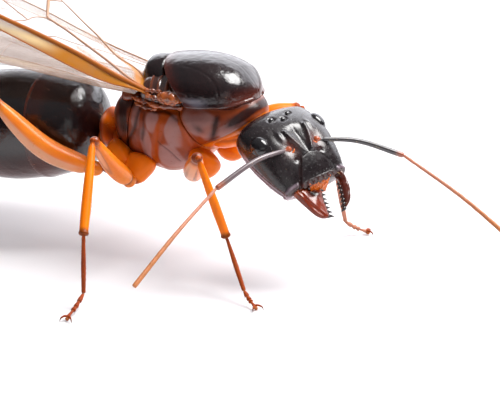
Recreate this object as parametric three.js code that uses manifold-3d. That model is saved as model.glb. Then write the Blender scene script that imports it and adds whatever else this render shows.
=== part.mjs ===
// A winged queen carpenter ant (Camponotus), life size, standing still on level ground.
// Millimetres. The ant faces +X, its left side is +Y, and the ground is z = 0.
// Each organ is one closed solid, parted from its neighbours by a hairline joint.
import * as THREE from "three";
import { mergeVertices } from "three/addons/utils/BufferGeometryUtils.js";
import Module from "manifold-3d";

const wasm = await Module();
wasm.setup();

// ---------- driving sizes ----------
const JOINT = 0.03; // clear width left between two neighbouring organs
const LIMB = 0.23; // radius of the thinnest limbs and feelers
const WING_THICKNESS = 0.46;
const GROUND_REACH = 40; // half the side of the block that trims the feet flat

const RIGHT = -1;
const LEFT = 1;
const SIDES = [
  ["right", RIGHT],
  ["left", LEFT],
];

// ---------- colours ----------
const FINISH = {
  black: { color: 0x171416, roughness: 0.22 },
  eye: { color: 0x0b0b0d, roughness: 0.12 },
  redBrown: { color: 0x5b1d0c, roughness: 0.3 },
  side: { color: 0x6a3527, roughness: 0.3 },
  orange: { color: 0xc45d12, roughness: 0.35 },
  wing: { color: 0xe9dcc4, roughness: 0.25 },
};

// ---------- small tools ----------
const at = (x, y, z) => new THREE.Vector3(x, y, z);
const X = at(1, 0, 0);
const Z = at(0, 0, 1);

/** Evenly spaced values joined by a smooth curve, read at t from 0 to 1. */
function profile(...values) {
  const curve = new THREE.SplineCurve(values.map((value, i) => new THREE.Vector2(i, value)));
  return (t) => curve.getPoint(t).y;
}

/** A smooth curve through a few places. */
function path(...places) {
  return places.length === 2
    ? new THREE.LineCurve3(...places)
    : new THREE.CatmullRomCurve3(places, false, "centripetal");
}

/** A manifold solid from a closed geometry, facing outwards. */
function solidOf(geometry) {
  const bare = geometry.index ? geometry.toNonIndexed() : geometry.clone();
  bare.deleteAttribute("normal");
  bare.deleteAttribute("uv");
  const merged = mergeVertices(bare, 1e-4);
  const corners = merged.index.array;
  const faces = [];
  for (let i = 0; i < corners.length; i += 3) {
    const [a, b, c] = [corners[i], corners[i + 1], corners[i + 2]];
    if (a !== b && b !== c && c !== a) faces.push(a, b, c);
  }
  const make = (triangles) =>
    new wasm.Manifold(
      new wasm.Mesh({
        numProp: 3,
        vertProperties: merged.attributes.position.array,
        triVerts: new Uint32Array(triangles),
      }),
    );
  const made = make(faces);
  return made.volume() > 0 ? made : make(faces.reverse());
}

const signedPower = (value, power) => Math.sign(value) * Math.abs(value) ** power;

/** How far a rounded end has opened at t, where the rounding takes up the share `length`. */
function rounding(t, length) {
  if (t >= length) return 1;
  return Math.sqrt(Math.max(0, 1 - ((length - t) / length) ** 2));
}

/**
 * A closed organ along a spine: a sphere whose rows become stations and whose columns go round them.
 * width, top and bottom are the reach of the section to its sides, upwards and downwards;
 * square above 2 makes it boxier; start and end are the shares of length that round off.
 */
function organ(shape, swell = 0) {
  const { spine, up = Z, rows, columns, width, top = width, bottom = top } = shape;
  const { square = 2, start = 0.12, end = 0.12 } = shape;
  const geometry = new THREE.SphereGeometry(1, columns, rows);
  const places = geometry.attributes.position;
  const place = at(0, 0, 0);
  for (let i = 0; i < places.count; i += 1) {
    place.fromBufferAttribute(places, i);
    const along = THREE.MathUtils.clamp(place.y, -1, 1);
    const t = (1 - along) / 2;
    const forward = spine.getTangentAt(t);
    const side = up.clone().cross(forward).normalize();
    const above = forward.clone().cross(side);
    const round = rounding(t, start) * rounding(1 - t, end);
    const turn = Math.atan2(place.z, place.x);
    const pole = Math.abs(along) > 0.99999;
    const across = pole ? 0 : signedPower(Math.cos(turn), 2 / square);
    const high = pole ? 0 : signedPower(Math.sin(turn), 2 / square);
    const height = (high > 0 ? top(t) : bottom(t)) * round + swell;
    place.copy(spine.getPointAt(t));
    place.addScaledVector(forward, -along * swell);
    place.addScaledVector(side, across * (width(t) * round + swell));
    place.addScaledVector(above, high * height);
    places.setXYZ(i, place.x, place.y, place.z);
  }
  return solidOf(geometry);
}

/** The place a given distance on the way from one place to another. */
function onTheWay(from, to, distance) {
  return from.clone().addScaledVector(to.clone().sub(from).normalize(), distance);
}

/** The level direction that crosses the way from one place to another. */
function crossing(from, to) {
  return at(from.y - to.y, to.x - from.x, 0).normalize();
}

/** A block of half-sizes (x, y, z), tipped about Y, at a place. */
function block(place, half, tip = 0) {
  const geometry = new THREE.BoxGeometry(2 * half.x, 2 * half.y, 2 * half.z);
  geometry.rotateY(tip);
  geometry.translate(place.x, place.y, place.z);
  return solidOf(geometry);
}

/** The largest body of a solid, without the slivers that a cut may leave. */
function largest(solid) {
  const bodies = solid.decompose();
  return bodies.reduce((best, body) => (body.volume() > best.volume() ? body : best));
}

/** The solid less each of the cutters. */
function without(solid, ...cutters) {
  return largest(cutters.reduce((rest, cutter) => rest.subtract(cutter), solid));
}

const group = new THREE.Group();

/** Adds a solid to the ant as a named mesh. */
function addPart(name, solid, finish) {
  const { vertProperties, triVerts } = solid.getMesh();
  const geometry = new THREE.BufferGeometry();
  geometry.setAttribute("position", new THREE.BufferAttribute(vertProperties, 3));
  geometry.setIndex(new THREE.BufferAttribute(triVerts, 1));
  geometry.computeVertexNormals();
  const mesh = new THREE.Mesh(geometry, new THREE.MeshStandardMaterial({ metalness: 0, ...finish }));
  mesh.name = name;
  group.add(mesh);
}

// ---------- middle body (mesosoma) ----------
const TRUNK = {
  spine: path(at(-2.45, 0, 3.7), at(2.66, 0, 4.78)),
  rows: 14,
  columns: 22,
  width: profile(0.72, 0.98, 1.2, 1.3, 1.28, 1.1, 0.66),
  top: profile(0.7, 0.95, 0.95, 0.8, 0.8, 0.76, 0.52),
  bottom: profile(0.62, 0.95, 1.14, 1.06, 0.88, 0.68, 0.4),
  square: 2.2,
  start: 0.1,
  end: 0.1,
};
const SCUTUM = {
  spine: path(at(-0.88, 0, 4.8), at(2.36, 0, 5.22)),
  rows: 11,
  columns: 20,
  width: profile(0.86, 1.16, 1.28, 1.31, 1.24, 1.06, 0.7),
  top: profile(0.96, 1.16, 1.2, 1.18, 1.08, 0.86, 0.5),
  bottom: profile(0.25, 0.25, 0.25, 0.22, 0.2, 0.16, 0.12),
  square: 2.25,
  start: 0.08,
  end: 0.16,
};
const SCUTELLUM = {
  spine: path(at(-1.46, 0, 5.05), at(-0.5, 0, 5.25)),
  rows: 7,
  columns: 14,
  width: profile(0.5, 0.68, 0.72),
  top: profile(0.5, 0.8, 0.72),
  bottom: profile(0.3, 0.3, 0.3),
  start: 0.4,
  end: 0.3,
};
const AXILLAE = {
  spine: path(at(-1.3, 0, 4.9), at(0.6, 0, 4.95)),
  rows: 6,
  columns: 10,
  width: profile(0.85, 1.12, 1.24, 1.22),
  top: profile(0.5, 0.72, 0.6, 0.2),
  bottom: profile(0.2, 0.2, 0.2, 0.2),
  start: 0.2,
  end: 0.12,
};
const METANOTUM = {
  spine: path(at(-1.95, 0, 4.62), at(-1.2, 0, 4.82)),
  rows: 6,
  columns: 10,
  width: profile(0.62, 0.85, 0.85),
  top: profile(0.3, 0.42, 0.4),
  bottom: profile(0.2, 0.2, 0.2),
  start: 0.4,
  end: 0.3,
};
const NECK = {
  spine: path(at(0.95, 0, 3.82), at(1.75, 0, 4.1), at(2.38, 0, 4.44)),
  rows: 6,
  columns: 10,
  width: profile(0.82, 0.86, 0.66, 0.3),
  top: profile(0.3, 0.34, 0.34, 0.26),
  bottom: profile(0.38, 0.46, 0.42, 0.26),
  start: 0.25,
  end: 0.15,
};
// The slanting seam behind the pronotum and the upright one before the propodeum.
const FRONT_SEAM = { place: at(1.07, 0, 4.26), tip: -0.42 };
const REAR_SEAM = { place: at(-1.38, 0, 4.0), tip: 0.1 };

// The scutum's hind edge, and the tegulae below its hind corners.
const SCUTUM_HEM = { place: at(-0.02, 0, 5.475), tip: 0.6435, half: 3 };
const TEGULA = { place: at(0.08, 1.14, 5.08), length: 0.8 };

/** Everything of the middle body that lies ahead of a seam, which is itself left out. */
function aheadOf(seam, gap) {
  const half = 6;
  const shift = at(half + gap, 0, 0).applyAxisAngle(at(0, 1, 0), seam.tip);
  return block(seam.place.clone().add(shift), at(half, half, half), seam.tip);
}

/** The scutum, whose hind edge slants down and forwards over the axillae. */
function scutumSolid(swell = 0) {
  const { place, tip, half } = SCUTUM_HEM;
  const drop = at(0, 0, -half - swell).applyAxisAngle(at(0, 1, 0), tip);
  return organ(SCUTUM, swell).subtract(block(place.clone().add(drop), at(half, half, half), tip));
}

/** A tegula, the small shell over the root of the forewing. */
function tegula(side) {
  const { x, y, z } = TEGULA.place;
  return {
    spine: path(at(x - TEGULA.length / 2, side * y, z), at(x + TEGULA.length / 2, side * (y + 0.06), z)),
    rows: 6,
    columns: 9,
    width: profile(0.17, 0.2, 0.15),
    start: 0.4,
    end: 0.4,
  };
}

const upperBack = [
  scutumSolid(JOINT),
  organ(SCUTELLUM, JOINT),
  organ(AXILLAE, JOINT),
  organ(METANOTUM, JOINT),
  ...SIDES.map(([, side]) => organ(tegula(side), JOINT)),
];
const [scutumSwollen, scutellumSwollen, axillaeSwollen, , ...tegulaeSwollen] = upperBack;
const scutum = without(scutumSolid(), ...tegulaeSwollen);
const scutellum = without(organ(SCUTELLUM), scutumSwollen);
const axillae = without(organ(AXILLAE), scutumSwollen, scutellumSwollen, ...tegulaeSwollen);
const metanotum = without(organ(METANOTUM), scutumSwollen, scutellumSwollen, axillaeSwollen);
const trunk = without(organ(TRUNK), ...upperBack);
const pronotum = largest(trunk.intersect(aheadOf(FRONT_SEAM, JOINT / 2)));
const rearOfPronotum = trunk.subtract(aheadOf(FRONT_SEAM, -JOINT / 2));
const mesopleuron = largest(rearOfPronotum.intersect(aheadOf(REAR_SEAM, JOINT / 2)));
const propodeum = largest(rearOfPronotum.subtract(aheadOf(REAR_SEAM, -JOINT / 2)));
const trunkSwollen = organ(TRUNK, JOINT);
const neck = without(organ(NECK), trunkSwollen);

addPart("mesoscutum", scutum, FINISH.black);
addPart("scutellum", scutellum, FINISH.black);
addPart("axillae", axillae, FINISH.redBrown);
for (const [name, side] of SIDES) addPart("tegula_" + name, organ(tegula(side)), FINISH.redBrown);
addPart("metanotum", metanotum, FINISH.redBrown);
addPart("pronotum", pronotum, FINISH.side);
addPart("mesopleuron", mesopleuron, FINISH.side);
addPart("propodeum", propodeum, FINISH.redBrown);
addPart("neck", neck, FINISH.orange);

// ---------- waist (petiole) ----------
const PETIOLE_SCALE = {
  spine: path(at(-2.72, 0, 2.86), at(-2.78, 0, 3.6), at(-2.84, 0, 4.22)),
  up: X,
  rows: 8,
  columns: 10,
  width: profile(0.34, 0.5, 0.58, 0.5),
  top: profile(0.3, 0.26, 0.2, 0.12),
  start: 0.3,
  end: 0.3,
};
const PETIOLE_STALK = {
  spine: path(at(-3.2, 0, 3.12), at(-2.3, 0, 3.2)),
  rows: 4,
  columns: 8,
  width: profile(0.3, 0.3),
  start: 0.2,
  end: 0.2,
};
const waist = organ(PETIOLE_SCALE).add(organ(PETIOLE_STALK));
addPart("petiole", without(waist, trunkSwollen), FINISH.orange);

// ---------- hind body (gaster) ----------
const GASTER = {
  spine: path(at(-8.95, 0, 2.5), at(-6.0, 0, 2.95), at(-3.0, 0, 3.3)),
  rows: 16,
  columns: 20,
  width: profile(0.42, 1.1, 1.5, 1.65, 1.58, 1.3, 0.8),
  top: profile(0.42, 1.12, 1.56, 1.7, 1.6, 1.32, 0.86),
  bottom: profile(0.34, 1.02, 1.46, 1.62, 1.52, 1.26, 0.82),
  start: 0.1,
  end: 0.12,
};
// Where each visible segment ends behind, as a share of the gaster's length from its front.
const SEGMENT_ENDS = [0.33, 0.6, 0.8, 0.93, 1.1];
const TELESCOPE = 0.025; // each segment slides this far into the one before it

function gasterSegment(index) {
  const front = index === 0 ? -0.1 : SEGMENT_ENDS[index - 1];
  const back = SEGMENT_ENDS[index];
  const length = GASTER.spine.getLength();
  const middle = 1 - (front + back) / 2;
  const place = GASTER.spine.getPointAt(THREE.MathUtils.clamp(middle, 0, 1));
  const forward = GASTER.spine.getTangentAt(THREE.MathUtils.clamp(middle, 0, 1));
  if (middle < 0) place.addScaledVector(forward, middle * length);
  const half = ((back - front) * length - JOINT) / 2;
  const slab = block(place, at(half, 4, 4), Math.atan2(-forward.z, forward.x));
  const body = organ(GASTER, -TELESCOPE * index);
  return without(body.intersect(slab), organ(PETIOLE_STALK, JOINT), organ(PETIOLE_SCALE, JOINT));
}

const gasterSegments = SEGMENT_ENDS.map((_, index) => gasterSegment(index));
const gasterSwollen = organ(GASTER, JOINT);

// ---------- head ----------
// In the head's own frame X runs out between the jaws, Y to its left and Z out of its forehead.
const HEAD_PLACE = at(3.62, -0.42, 3.85);
const HEAD_TURN = new THREE.Euler(
  THREE.MathUtils.degToRad(8.9), // left side raised
  THREE.MathUtils.degToRad(33.7), // face lowered
  THREE.MathUtils.degToRad(-17.5), // turned to the right
  "ZYX",
);
const headFrame = new THREE.Matrix4().makeRotationFromEuler(HEAD_TURN).setPosition(HEAD_PLACE);
const onHead = (x, y, z) => at(x, y, z).applyMatrix4(headFrame);
const headUp = at(0, 0, 1).transformDirection(headFrame);
const headForward = at(1, 0, 0).transformDirection(headFrame);
const headLeft = at(0, 1, 0).transformDirection(headFrame);

const CAPSULE = {
  spine: path(onHead(-1.4, 0, -0.05), onHead(1.3, 0, -0.1)),
  up: headUp,
  rows: 13,
  columns: 20,
  width: profile(0.92, 1.16, 1.25, 1.23, 1.15, 1.05, 0.92),
  top: profile(0.38, 0.62, 0.8, 0.87, 0.76, 0.56, 0.32),
  bottom: profile(0.5, 0.68, 0.7, 0.68, 0.62, 0.54, 0.42),
  square: 2.35,
  start: 0.14,
  end: 0.03,
};
const EYE = { place: at(-0.37, 1.0, 0.4), length: 0.29, height: 0.235, depth: 0.2, lean: 0.55 };

/** An eye, an oval cap set into the side of the head and leaning up towards the forehead. */
function eye(side) {
  const outward = headLeft.clone().multiplyScalar(side * Math.cos(EYE.lean));
  outward.addScaledVector(headUp, Math.sin(EYE.lean));
  const { x, y, z } = EYE.place;
  return {
    spine: path(onHead(x - EYE.length, side * y, z), onHead(x + EYE.length, side * y, z)),
    up: outward,
    rows: 6,
    columns: 10,
    width: profile(EYE.height, EYE.height),
    top: profile(EYE.depth, EYE.depth),
    start: 0.5,
    end: 0.5,
  };
}

// A jaw seen from above, in the head's frame for the left side.
const JAW = {
  base: [1.22, 0.86],
  bulge: [1.7, 0.86],
  shoulder: [2.12, 0.58],
  tip: [2.4, 0.16],
  firstTooth: [1.7, 0.1],
  crook: [1.5, 0.42],
  root: [1.2, 0.5],
  teeth: 6,
  toothDepth: 0.08,
  thickness: 0.4,
  height: 0.06,
  droop: 0.16,
};

/** A toothed jaw: a curved blade whose inner edge is a row of pointed teeth. */
function jaw(side) {
  const outline = new THREE.Shape();
  outline.moveTo(...JAW.root);
  outline.lineTo(...JAW.base);
  outline.bezierCurveTo(...JAW.bulge, ...JAW.shoulder, ...JAW.tip);
  for (let i = 1; i <= JAW.teeth; i += 1) {
    const gum = (i - 0.25) / JAW.teeth;
    const point = i / JAW.teeth;
    const reach = (share) => [
      THREE.MathUtils.lerp(JAW.tip[0], JAW.firstTooth[0], share),
      THREE.MathUtils.lerp(JAW.tip[1], JAW.firstTooth[1], share),
    ];
    outline.lineTo(reach(gum)[0], reach(gum)[1] + JAW.toothDepth);
    if (i < JAW.teeth) outline.lineTo(...reach(point));
  }
  outline.lineTo(...JAW.firstTooth);
  outline.quadraticCurveTo(...JAW.crook, ...JAW.root);
  const geometry = new THREE.ExtrudeGeometry(outline, {
    depth: JAW.thickness,
    curveSegments: 6,
    bevelEnabled: false,
  });
  geometry.translate(-JAW.base[0], 0, -JAW.thickness / 2);
  geometry.rotateY(JAW.droop);
  geometry.translate(JAW.base[0], 0, JAW.height - 0.12);
  geometry.scale(1, side, 1);
  geometry.applyMatrix4(headFrame);
  return solidOf(geometry);
}

const MOUTH = {
  spine: path(onHead(0.9, 0, -0.28), onHead(1.62, 0, -0.2)),
  up: headUp,
  rows: 6,
  columns: 8,
  width: profile(0.42, 0.44, 0.34),
  top: profile(0.3, 0.26, 0.18),
  bottom: profile(0.3, 0.26, 0.18),
  start: 0.2,
  end: 0.3,
};

// Feelers: where each leaves the forehead, its bowed first joint, and its many-jointed whip.
const FEELERS = {
  right: {
    bow: at(3.47, -2.2, 4.1),
    elbow: at(2.84, -3.49, 3.54),
    bend: at(2.6, -5.35, 2.78),
    tip: at(2.31, -7.03, 1.87),
  },
  left: {
    bow: at(5.18, 0.6, 4.22),
    elbow: at(6.29, 1.44, 3.57),
    bend: at(8.02, 1.75, 2.48),
    tip: at(9.91, 2.03, 1.06),
  },
};
const SOCKET = at(0.24, 0.42, 0.6);

/** A feeler's long first joint, from its socket on the forehead to the elbow. */
function scape(name, side) {
  const { bow, elbow } = FEELERS[name];
  return {
    spine: path(onHead(SOCKET.x, side * SOCKET.y, SOCKET.z), bow, elbow),
    rows: 7,
    columns: 7,
    width: profile(LIMB, LIMB, LIMB),
    start: 0.08,
    end: 0.08,
  };
}

/** The many-jointed whip beyond the elbow, as one tapering-ended rod. */
function whip(name) {
  const { elbow, bend, tip } = FEELERS[name];
  return {
    spine: path(elbow, bend, tip),
    rows: 8,
    columns: 7,
    width: profile(LIMB, LIMB, LIMB),
    start: 0.06,
    end: 0.08,
  };
}

const jaws = { right: jaw(RIGHT), left: jaw(LEFT) };
const capsule = without(
  organ(CAPSULE),
  ...SIDES.map(([, side]) => organ(eye(side), JOINT)),
  ...SIDES.map(([name, side]) => organ(scape(name, side), JOINT)),
  trunkSwollen,
  organ(NECK, JOINT),
);
const capsuleSwollen = organ(CAPSULE, JOINT);
addPart("head", capsule, FINISH.black);
for (const [name, side] of SIDES) {
  addPart("eye_" + name, organ(eye(side)), FINISH.eye);
  addPart("mandible_" + name, without(jaws[name], capsuleSwollen), FINISH.redBrown);
  addPart("scape_" + name, organ(scape(name, side)), FINISH.black);
  addPart("flagellum_" + name, without(organ(whip(name)), organ(scape(name, side), JOINT)), FINISH.orange);
}
addPart("mouthparts", without(organ(MOUTH), capsuleSwollen), FINISH.orange);

// ---------- wings ----------
// Each wing lies back over the gaster. Along it x is the distance from the hinge, y the chord.
const FOREWING = {
  length: 15.2,
  curves: [
    [4, -0.25, 9, -0.3, 13, 0.1],
    [14.4, 0.2, 15.2, 0.9, 15.2, 1.9],
    [15.2, 3.4, 14, 4.6, 11.8, 4.6],
    [9, 4.6, 5.5, 2.6, 3.2, 1.5],
    [1.8, 0.75, 0.8, 0.5, 0, 0.4],
  ],
};
const HINDWING = {
  length: 10.5,
  curves: [
    [3, -0.15, 6, -0.2, 9, 0.2],
    [10, 0.25, 10.5, 0.6, 10.5, 1.2],
    [10.5, 2.2, 9.3, 2.9, 7.6, 2.9],
    [5.5, 2.9, 3.5, 2, 2.2, 1.35],
    [1.2, 0.8, 0.5, 0.5, 0, 0.35],
  ],
};
const WINGS = {
  forewing_left: {
    plan: FOREWING,
    side: LEFT,
    hinge: at(-0.62, 1.12, 4.92),
    rise: 0.225,
    splay: 0.075,
    tilt: 0.02,
  },
  forewing_right: {
    plan: FOREWING,
    side: RIGHT,
    hinge: at(-0.62, -1.12, 5.08),
    rise: 0.376,
    splay: 0.09,
    tilt: 0.06,
  },
  hindwing_left: {
    plan: HINDWING,
    side: LEFT,
    hinge: at(-1.15, 1.0, 4.84),
    rise: 0.035,
    splay: 0.1,
    tilt: 0,
  },
  hindwing_right: {
    plan: HINDWING,
    side: RIGHT,
    hinge: at(-1.15, -1.0, 4.98),
    rise: 0.125,
    splay: 0.1,
    tilt: 0,
  },
};

/** A wing plate from its plan outline, hinged at the flank and raised, splayed and tilted. */
function wing({ plan, side, hinge, rise, splay, tilt }, swell = 0) {
  const outline = new THREE.Shape();
  outline.moveTo(0, 0);
  for (const curve of plan.curves) outline.bezierCurveTo(...curve);
  const thickness = WING_THICKNESS + 2 * swell;
  const geometry = new THREE.ExtrudeGeometry(outline, {
    depth: thickness,
    curveSegments: 6,
    bevelEnabled: false,
  });
  geometry.translate(0, 0, -thickness / 2);
  const backward = at(-Math.cos(rise) * Math.cos(splay), side * Math.sin(splay), Math.sin(rise));
  backward.normalize();
  const inward = at(0, -side * Math.cos(tilt), Math.sin(tilt));
  inward.addScaledVector(backward, -inward.dot(backward)).normalize();
  const normal = backward.clone().cross(inward);
  geometry.applyMatrix4(new THREE.Matrix4().makeBasis(backward, inward, normal).setPosition(hinge));
  return solidOf(geometry);
}

const wingCutters = [trunkSwollen, ...upperBack, gasterSwollen];
for (const [name, sizes] of Object.entries(WINGS)) {
  const plate = without(wing(sizes), ...wingCutters);
  addPart(name, plate, FINISH.wing);
  wingCutters.push(wing(sizes, JOINT));
}

// ---------- legs ----------
// Hip, trochanter (the short joint after it), thigh's bow, knee, ankle, ball of the foot and toe.
const LEGS = {
  front_right: {
    hip: at(1.2, -0.68, 3.5),
    trochanter: at(0.82, -1.05, 2.86),
    bow: at(1.28, -1.95, 3.38),
    knee: at(1.9, -2.84, 4.14),
    ankle: at(2.6, -2.41, 1.68),
    ball: at(3.45, -2.95, 0.4),
    toe: at(4.0, -3.25, 0),
  },
  front_left: {
    hip: at(1.2, 0.68, 3.5),
    trochanter: at(0.82, 1.05, 2.9),
    bow: at(1.55, 1.85, 3.68),
    knee: at(2.24, 2.53, 4.1),
    ankle: at(3.68, 2.37, 1.82),
    ball: at(3.5, 3.3, 0.46),
    toe: at(4.05, 3.75, 0),
  },
  middle_right: {
    hip: at(-0.86, -0.72, 3.0),
    trochanter: at(-1.08, -1.34, 2.36),
    bow: at(-1.2, -2.3, 3.2),
    knee: at(-1.2, -3.36, 4.33),
    ankle: at(-0.48, -5.2, 2.12),
    ball: at(-0.44, -5.3, 0.42),
    toe: at(-0.31, -6.47, 0),
  },
  middle_left: {
    hip: at(-0.86, 0.72, 3.0),
    trochanter: at(-1.08, 1.34, 2.4),
    bow: at(-1.15, 2.3, 3.3),
    knee: at(-1.14, 3.31, 4.35),
    ankle: at(-0.1, 4.74, 1.96),
    ball: at(-0.38, 5.76, 0.5),
    toe: at(0.02, 6.4, 0),
  },
  hind_right: {
    hip: at(-1.6, -0.68, 3.1),
    trochanter: at(-2.2, -1.2, 2.5),
    bow: at(-3.55, -1.95, 3.18),
    knee: at(-5.05, -2.6, 4.75),
    ankle: at(-6.9, -4.3, 2.05),
    ball: at(-7.7, -5.2, 0.42),
    toe: at(-9.3, -6.3, 0),
  },
  hind_left: {
    hip: at(-1.6, 0.68, 3.1),
    trochanter: at(-2.2, 1.25, 2.45),
    bow: at(-4.0, 2.1, 2.6),
    knee: at(-5.9, 2.8, 3.05),
    ankle: at(-8.3, 4.3, 1.3),
    ball: at(-9.8, 5.3, 0.4),
    toe: at(-11.3, 6.2, 0),
  },
};
const THIGH = {
  front: profile(0.2, 0.3, 0.33, 0.29, LIMB),
  middle: profile(0.2, 0.28, 0.29, 0.26, LIMB),
  hind: profile(0.22, 0.3, 0.32, 0.28, LIMB),
};
const SOLE = LIMB * 0.96; // height of the toe's axis above the ground, so a small flat stands on it
const KNUCKLE = 0.16; // how far past a joint's centre the next limb begins
const CLAW = { length: 0.34, radius: 0.09, spread: 0.5 };

/** A leg's limb along a spine, as a shape for organ(). */
function legLimb(spine, up, rows, width, start, end) {
  return { spine, up, rows, columns: 7, width, start, end };
}

/** The two claws at the end of a foot. */
function claws(ball, toe) {
  const heading = Math.atan2(toe.y - ball.y, toe.x - ball.x);
  const up = crossing(ball, toe);
  const pair = [-CLAW.spread, CLAW.spread].map((turn) => {
    const direction = at(Math.cos(heading + turn), Math.sin(heading + turn), -0.25);
    const start = toe.clone().setZ(SOLE);
    const tip = start.clone().addScaledVector(direction, CLAW.length);
    const limb = legLimb(path(start, tip), up, 3, profile(CLAW.radius, CLAW.radius * 0.6), 0.1, 0.5);
    return organ({ ...limb, columns: 5 });
  });
  return pair[0].add(pair[1]);
}

const ground = block(at(0, 0, -GROUND_REACH), at(GROUND_REACH, GROUND_REACH, GROUND_REACH));
const hips = [];
const gasterCutters = [];
for (const [name, { hip, trochanter, bow, knee, ankle, ball, toe }] of Object.entries(LEGS)) {
  const kind = name.split("_")[0];
  const up = crossing(hip, toe);
  const coxa = legLimb(path(hip, trochanter), up, 6, profile(0.36, 0.38, 0.26), 0.2, 0.25);
  const femur = legLimb(path(trochanter, bow, knee), up, 8, THIGH[kind], 0.1, 0.06);
  const shin = path(onTheWay(knee, ankle, KNUCKLE), ankle);
  const tibia = legLimb(shin, up, 5, profile(LIMB, LIMB, LIMB), 0.06, 0.06);
  const sole = path(onTheWay(ankle, ball, KNUCKLE), ball, toe.clone().setZ(SOLE));
  const tarsus = legLimb(sole, crossing(ball, toe), 8, profile(LIMB, LIMB), 0.05, 0.06);
  const coxaSolid = without(organ(coxa), trunkSwollen, organ(NECK, JOINT), ...hips);
  hips.push(organ(coxa, JOINT));
  const femurSolid = without(organ(femur), organ(coxa, JOINT), trunkSwollen, gasterSwollen);
  const tibiaSolid = without(organ(tibia), organ(femur, JOINT), gasterSwollen);
  const foot = organ(tarsus).add(claws(ball, toe));
  const finish = FINISH.orange;
  addPart("coxa_" + name, coxaSolid, finish);
  addPart("femur_" + name, femurSolid, finish);
  addPart("tibia_" + name, tibiaSolid, finish);
  addPart("tarsus_" + name, without(foot, organ(tibia, JOINT), ground), finish);
  gasterCutters.push(organ(coxa, JOINT), organ(femur, JOINT));
}

gasterSegments.forEach((segment, index) => {
  addPart("gaster_" + (index + 1), segment, FINISH.black);
});

// The part's origin is the middle of its footprint, on the ground.
const bounds = new THREE.Box3().setFromObject(group);
const centre = bounds.getCenter(at(0, 0, 0));
group.position.set(-centre.x, -centre.y, 0);

export default group;
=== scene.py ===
"""The looks of a winged queen carpenter ant, a still life-size model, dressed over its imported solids.

Shapes are drawn in the ant's own frame in millimetres: X forwards, Y to its left, Z up, the ground at 0.
They are then carried to the row frame in metres, whose origin is found from the two tegulae.
"""

from __future__ import annotations

import logging
import math
from dataclasses import dataclass, field, replace
from enum import Enum
from functools import cache
from typing import Iterable, Sequence

import bpy
import numpy as np
from mathutils import Matrix, Vector

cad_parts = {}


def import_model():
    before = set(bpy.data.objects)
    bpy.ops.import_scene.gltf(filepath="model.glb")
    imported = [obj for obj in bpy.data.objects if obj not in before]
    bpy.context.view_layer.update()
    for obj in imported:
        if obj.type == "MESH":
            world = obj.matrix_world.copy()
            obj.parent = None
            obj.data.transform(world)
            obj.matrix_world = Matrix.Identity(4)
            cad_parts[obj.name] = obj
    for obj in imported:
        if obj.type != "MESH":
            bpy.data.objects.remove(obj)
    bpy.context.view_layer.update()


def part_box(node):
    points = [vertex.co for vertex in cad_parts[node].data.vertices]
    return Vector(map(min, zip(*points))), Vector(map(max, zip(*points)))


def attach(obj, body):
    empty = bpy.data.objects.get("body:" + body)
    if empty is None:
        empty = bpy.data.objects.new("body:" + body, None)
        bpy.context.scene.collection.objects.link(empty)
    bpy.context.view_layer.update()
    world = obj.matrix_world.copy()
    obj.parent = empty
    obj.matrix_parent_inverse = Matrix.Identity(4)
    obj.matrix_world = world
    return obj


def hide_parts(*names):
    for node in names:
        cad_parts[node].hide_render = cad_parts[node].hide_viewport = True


LOG = logging.getLogger("ant")
MM = 0.001
Place = tuple[float, float, float]
Spot = tuple[float, float]
Colour = tuple[float, float, float]
Array = np.ndarray
Socket = bpy.types.NodeSocket


class Side(Enum):
    """The two sides of the ant, as the sign of Y."""

    RIGHT = -1
    LEFT = 1

    @property
    def word(self) -> str:
        """The side's name as the solids spell it."""
        return self.name.lower()


class View(Enum):
    """The two coordinates that a marking is drawn in, seen from the side or from above."""

    SIDE = (0, 2)
    ABOVE = (0, 1)

    def flat(self, points: Array) -> Array:
        """Places as the view shows them, with both sides of the ant alike.

        Args:
            points: Places on the ant.

        Returns:
            Pairs, along and across the view.
        """
        across = np.abs(points[..., 1]) if self is View.ABOVE else points[..., 2]
        return np.stack([points[..., 0], across], -1)


class Tone(Enum):
    """The named weights that a surface carries: four colours for its finish, and where its hairs grow. Gloom
    is dark joints and edges and also painted shade; on the shells pale is mostly painted reflection and
    highlight.
    """

    SEAM = "seam"
    GLOOM = "gloom"
    AMBER = "amber"
    PALE = "pale"
    HAIR = "hair"


# ---------------------------------------------------------------- curves and surfaces


@dataclass(frozen=True)
class Profile:
    """Evenly spaced values joined by a smooth curve."""

    values: tuple[float, ...]

    def at(self, share: Array) -> Array:
        """Reads the curve.

        Args:
            share: Places along the curve, from 0 to 1.

        Returns:
            The value at each place.
        """
        v = np.asarray(self.values, float)
        last = len(v) - 1
        place = np.clip(share, 0, 1) * last
        i = np.minimum(place.astype(int), last)
        w = place - i
        p0, p1 = v[np.maximum(i - 1, 0)], v[i]
        p2, p3 = v[np.minimum(i + 1, last)], v[np.minimum(i + 2, last)]
        a, b = (p2 - p0) / 2, (p3 - p1) / 2
        return (2 * p1 - 2 * p2 + a + b) * w**3 + (-3 * p1 + 3 * p2 - 2 * a - b) * w**2 + a * w + p1


def profile(*values: float) -> Profile:
    """A smooth profile through evenly spaced values."""
    return Profile(values)


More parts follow.
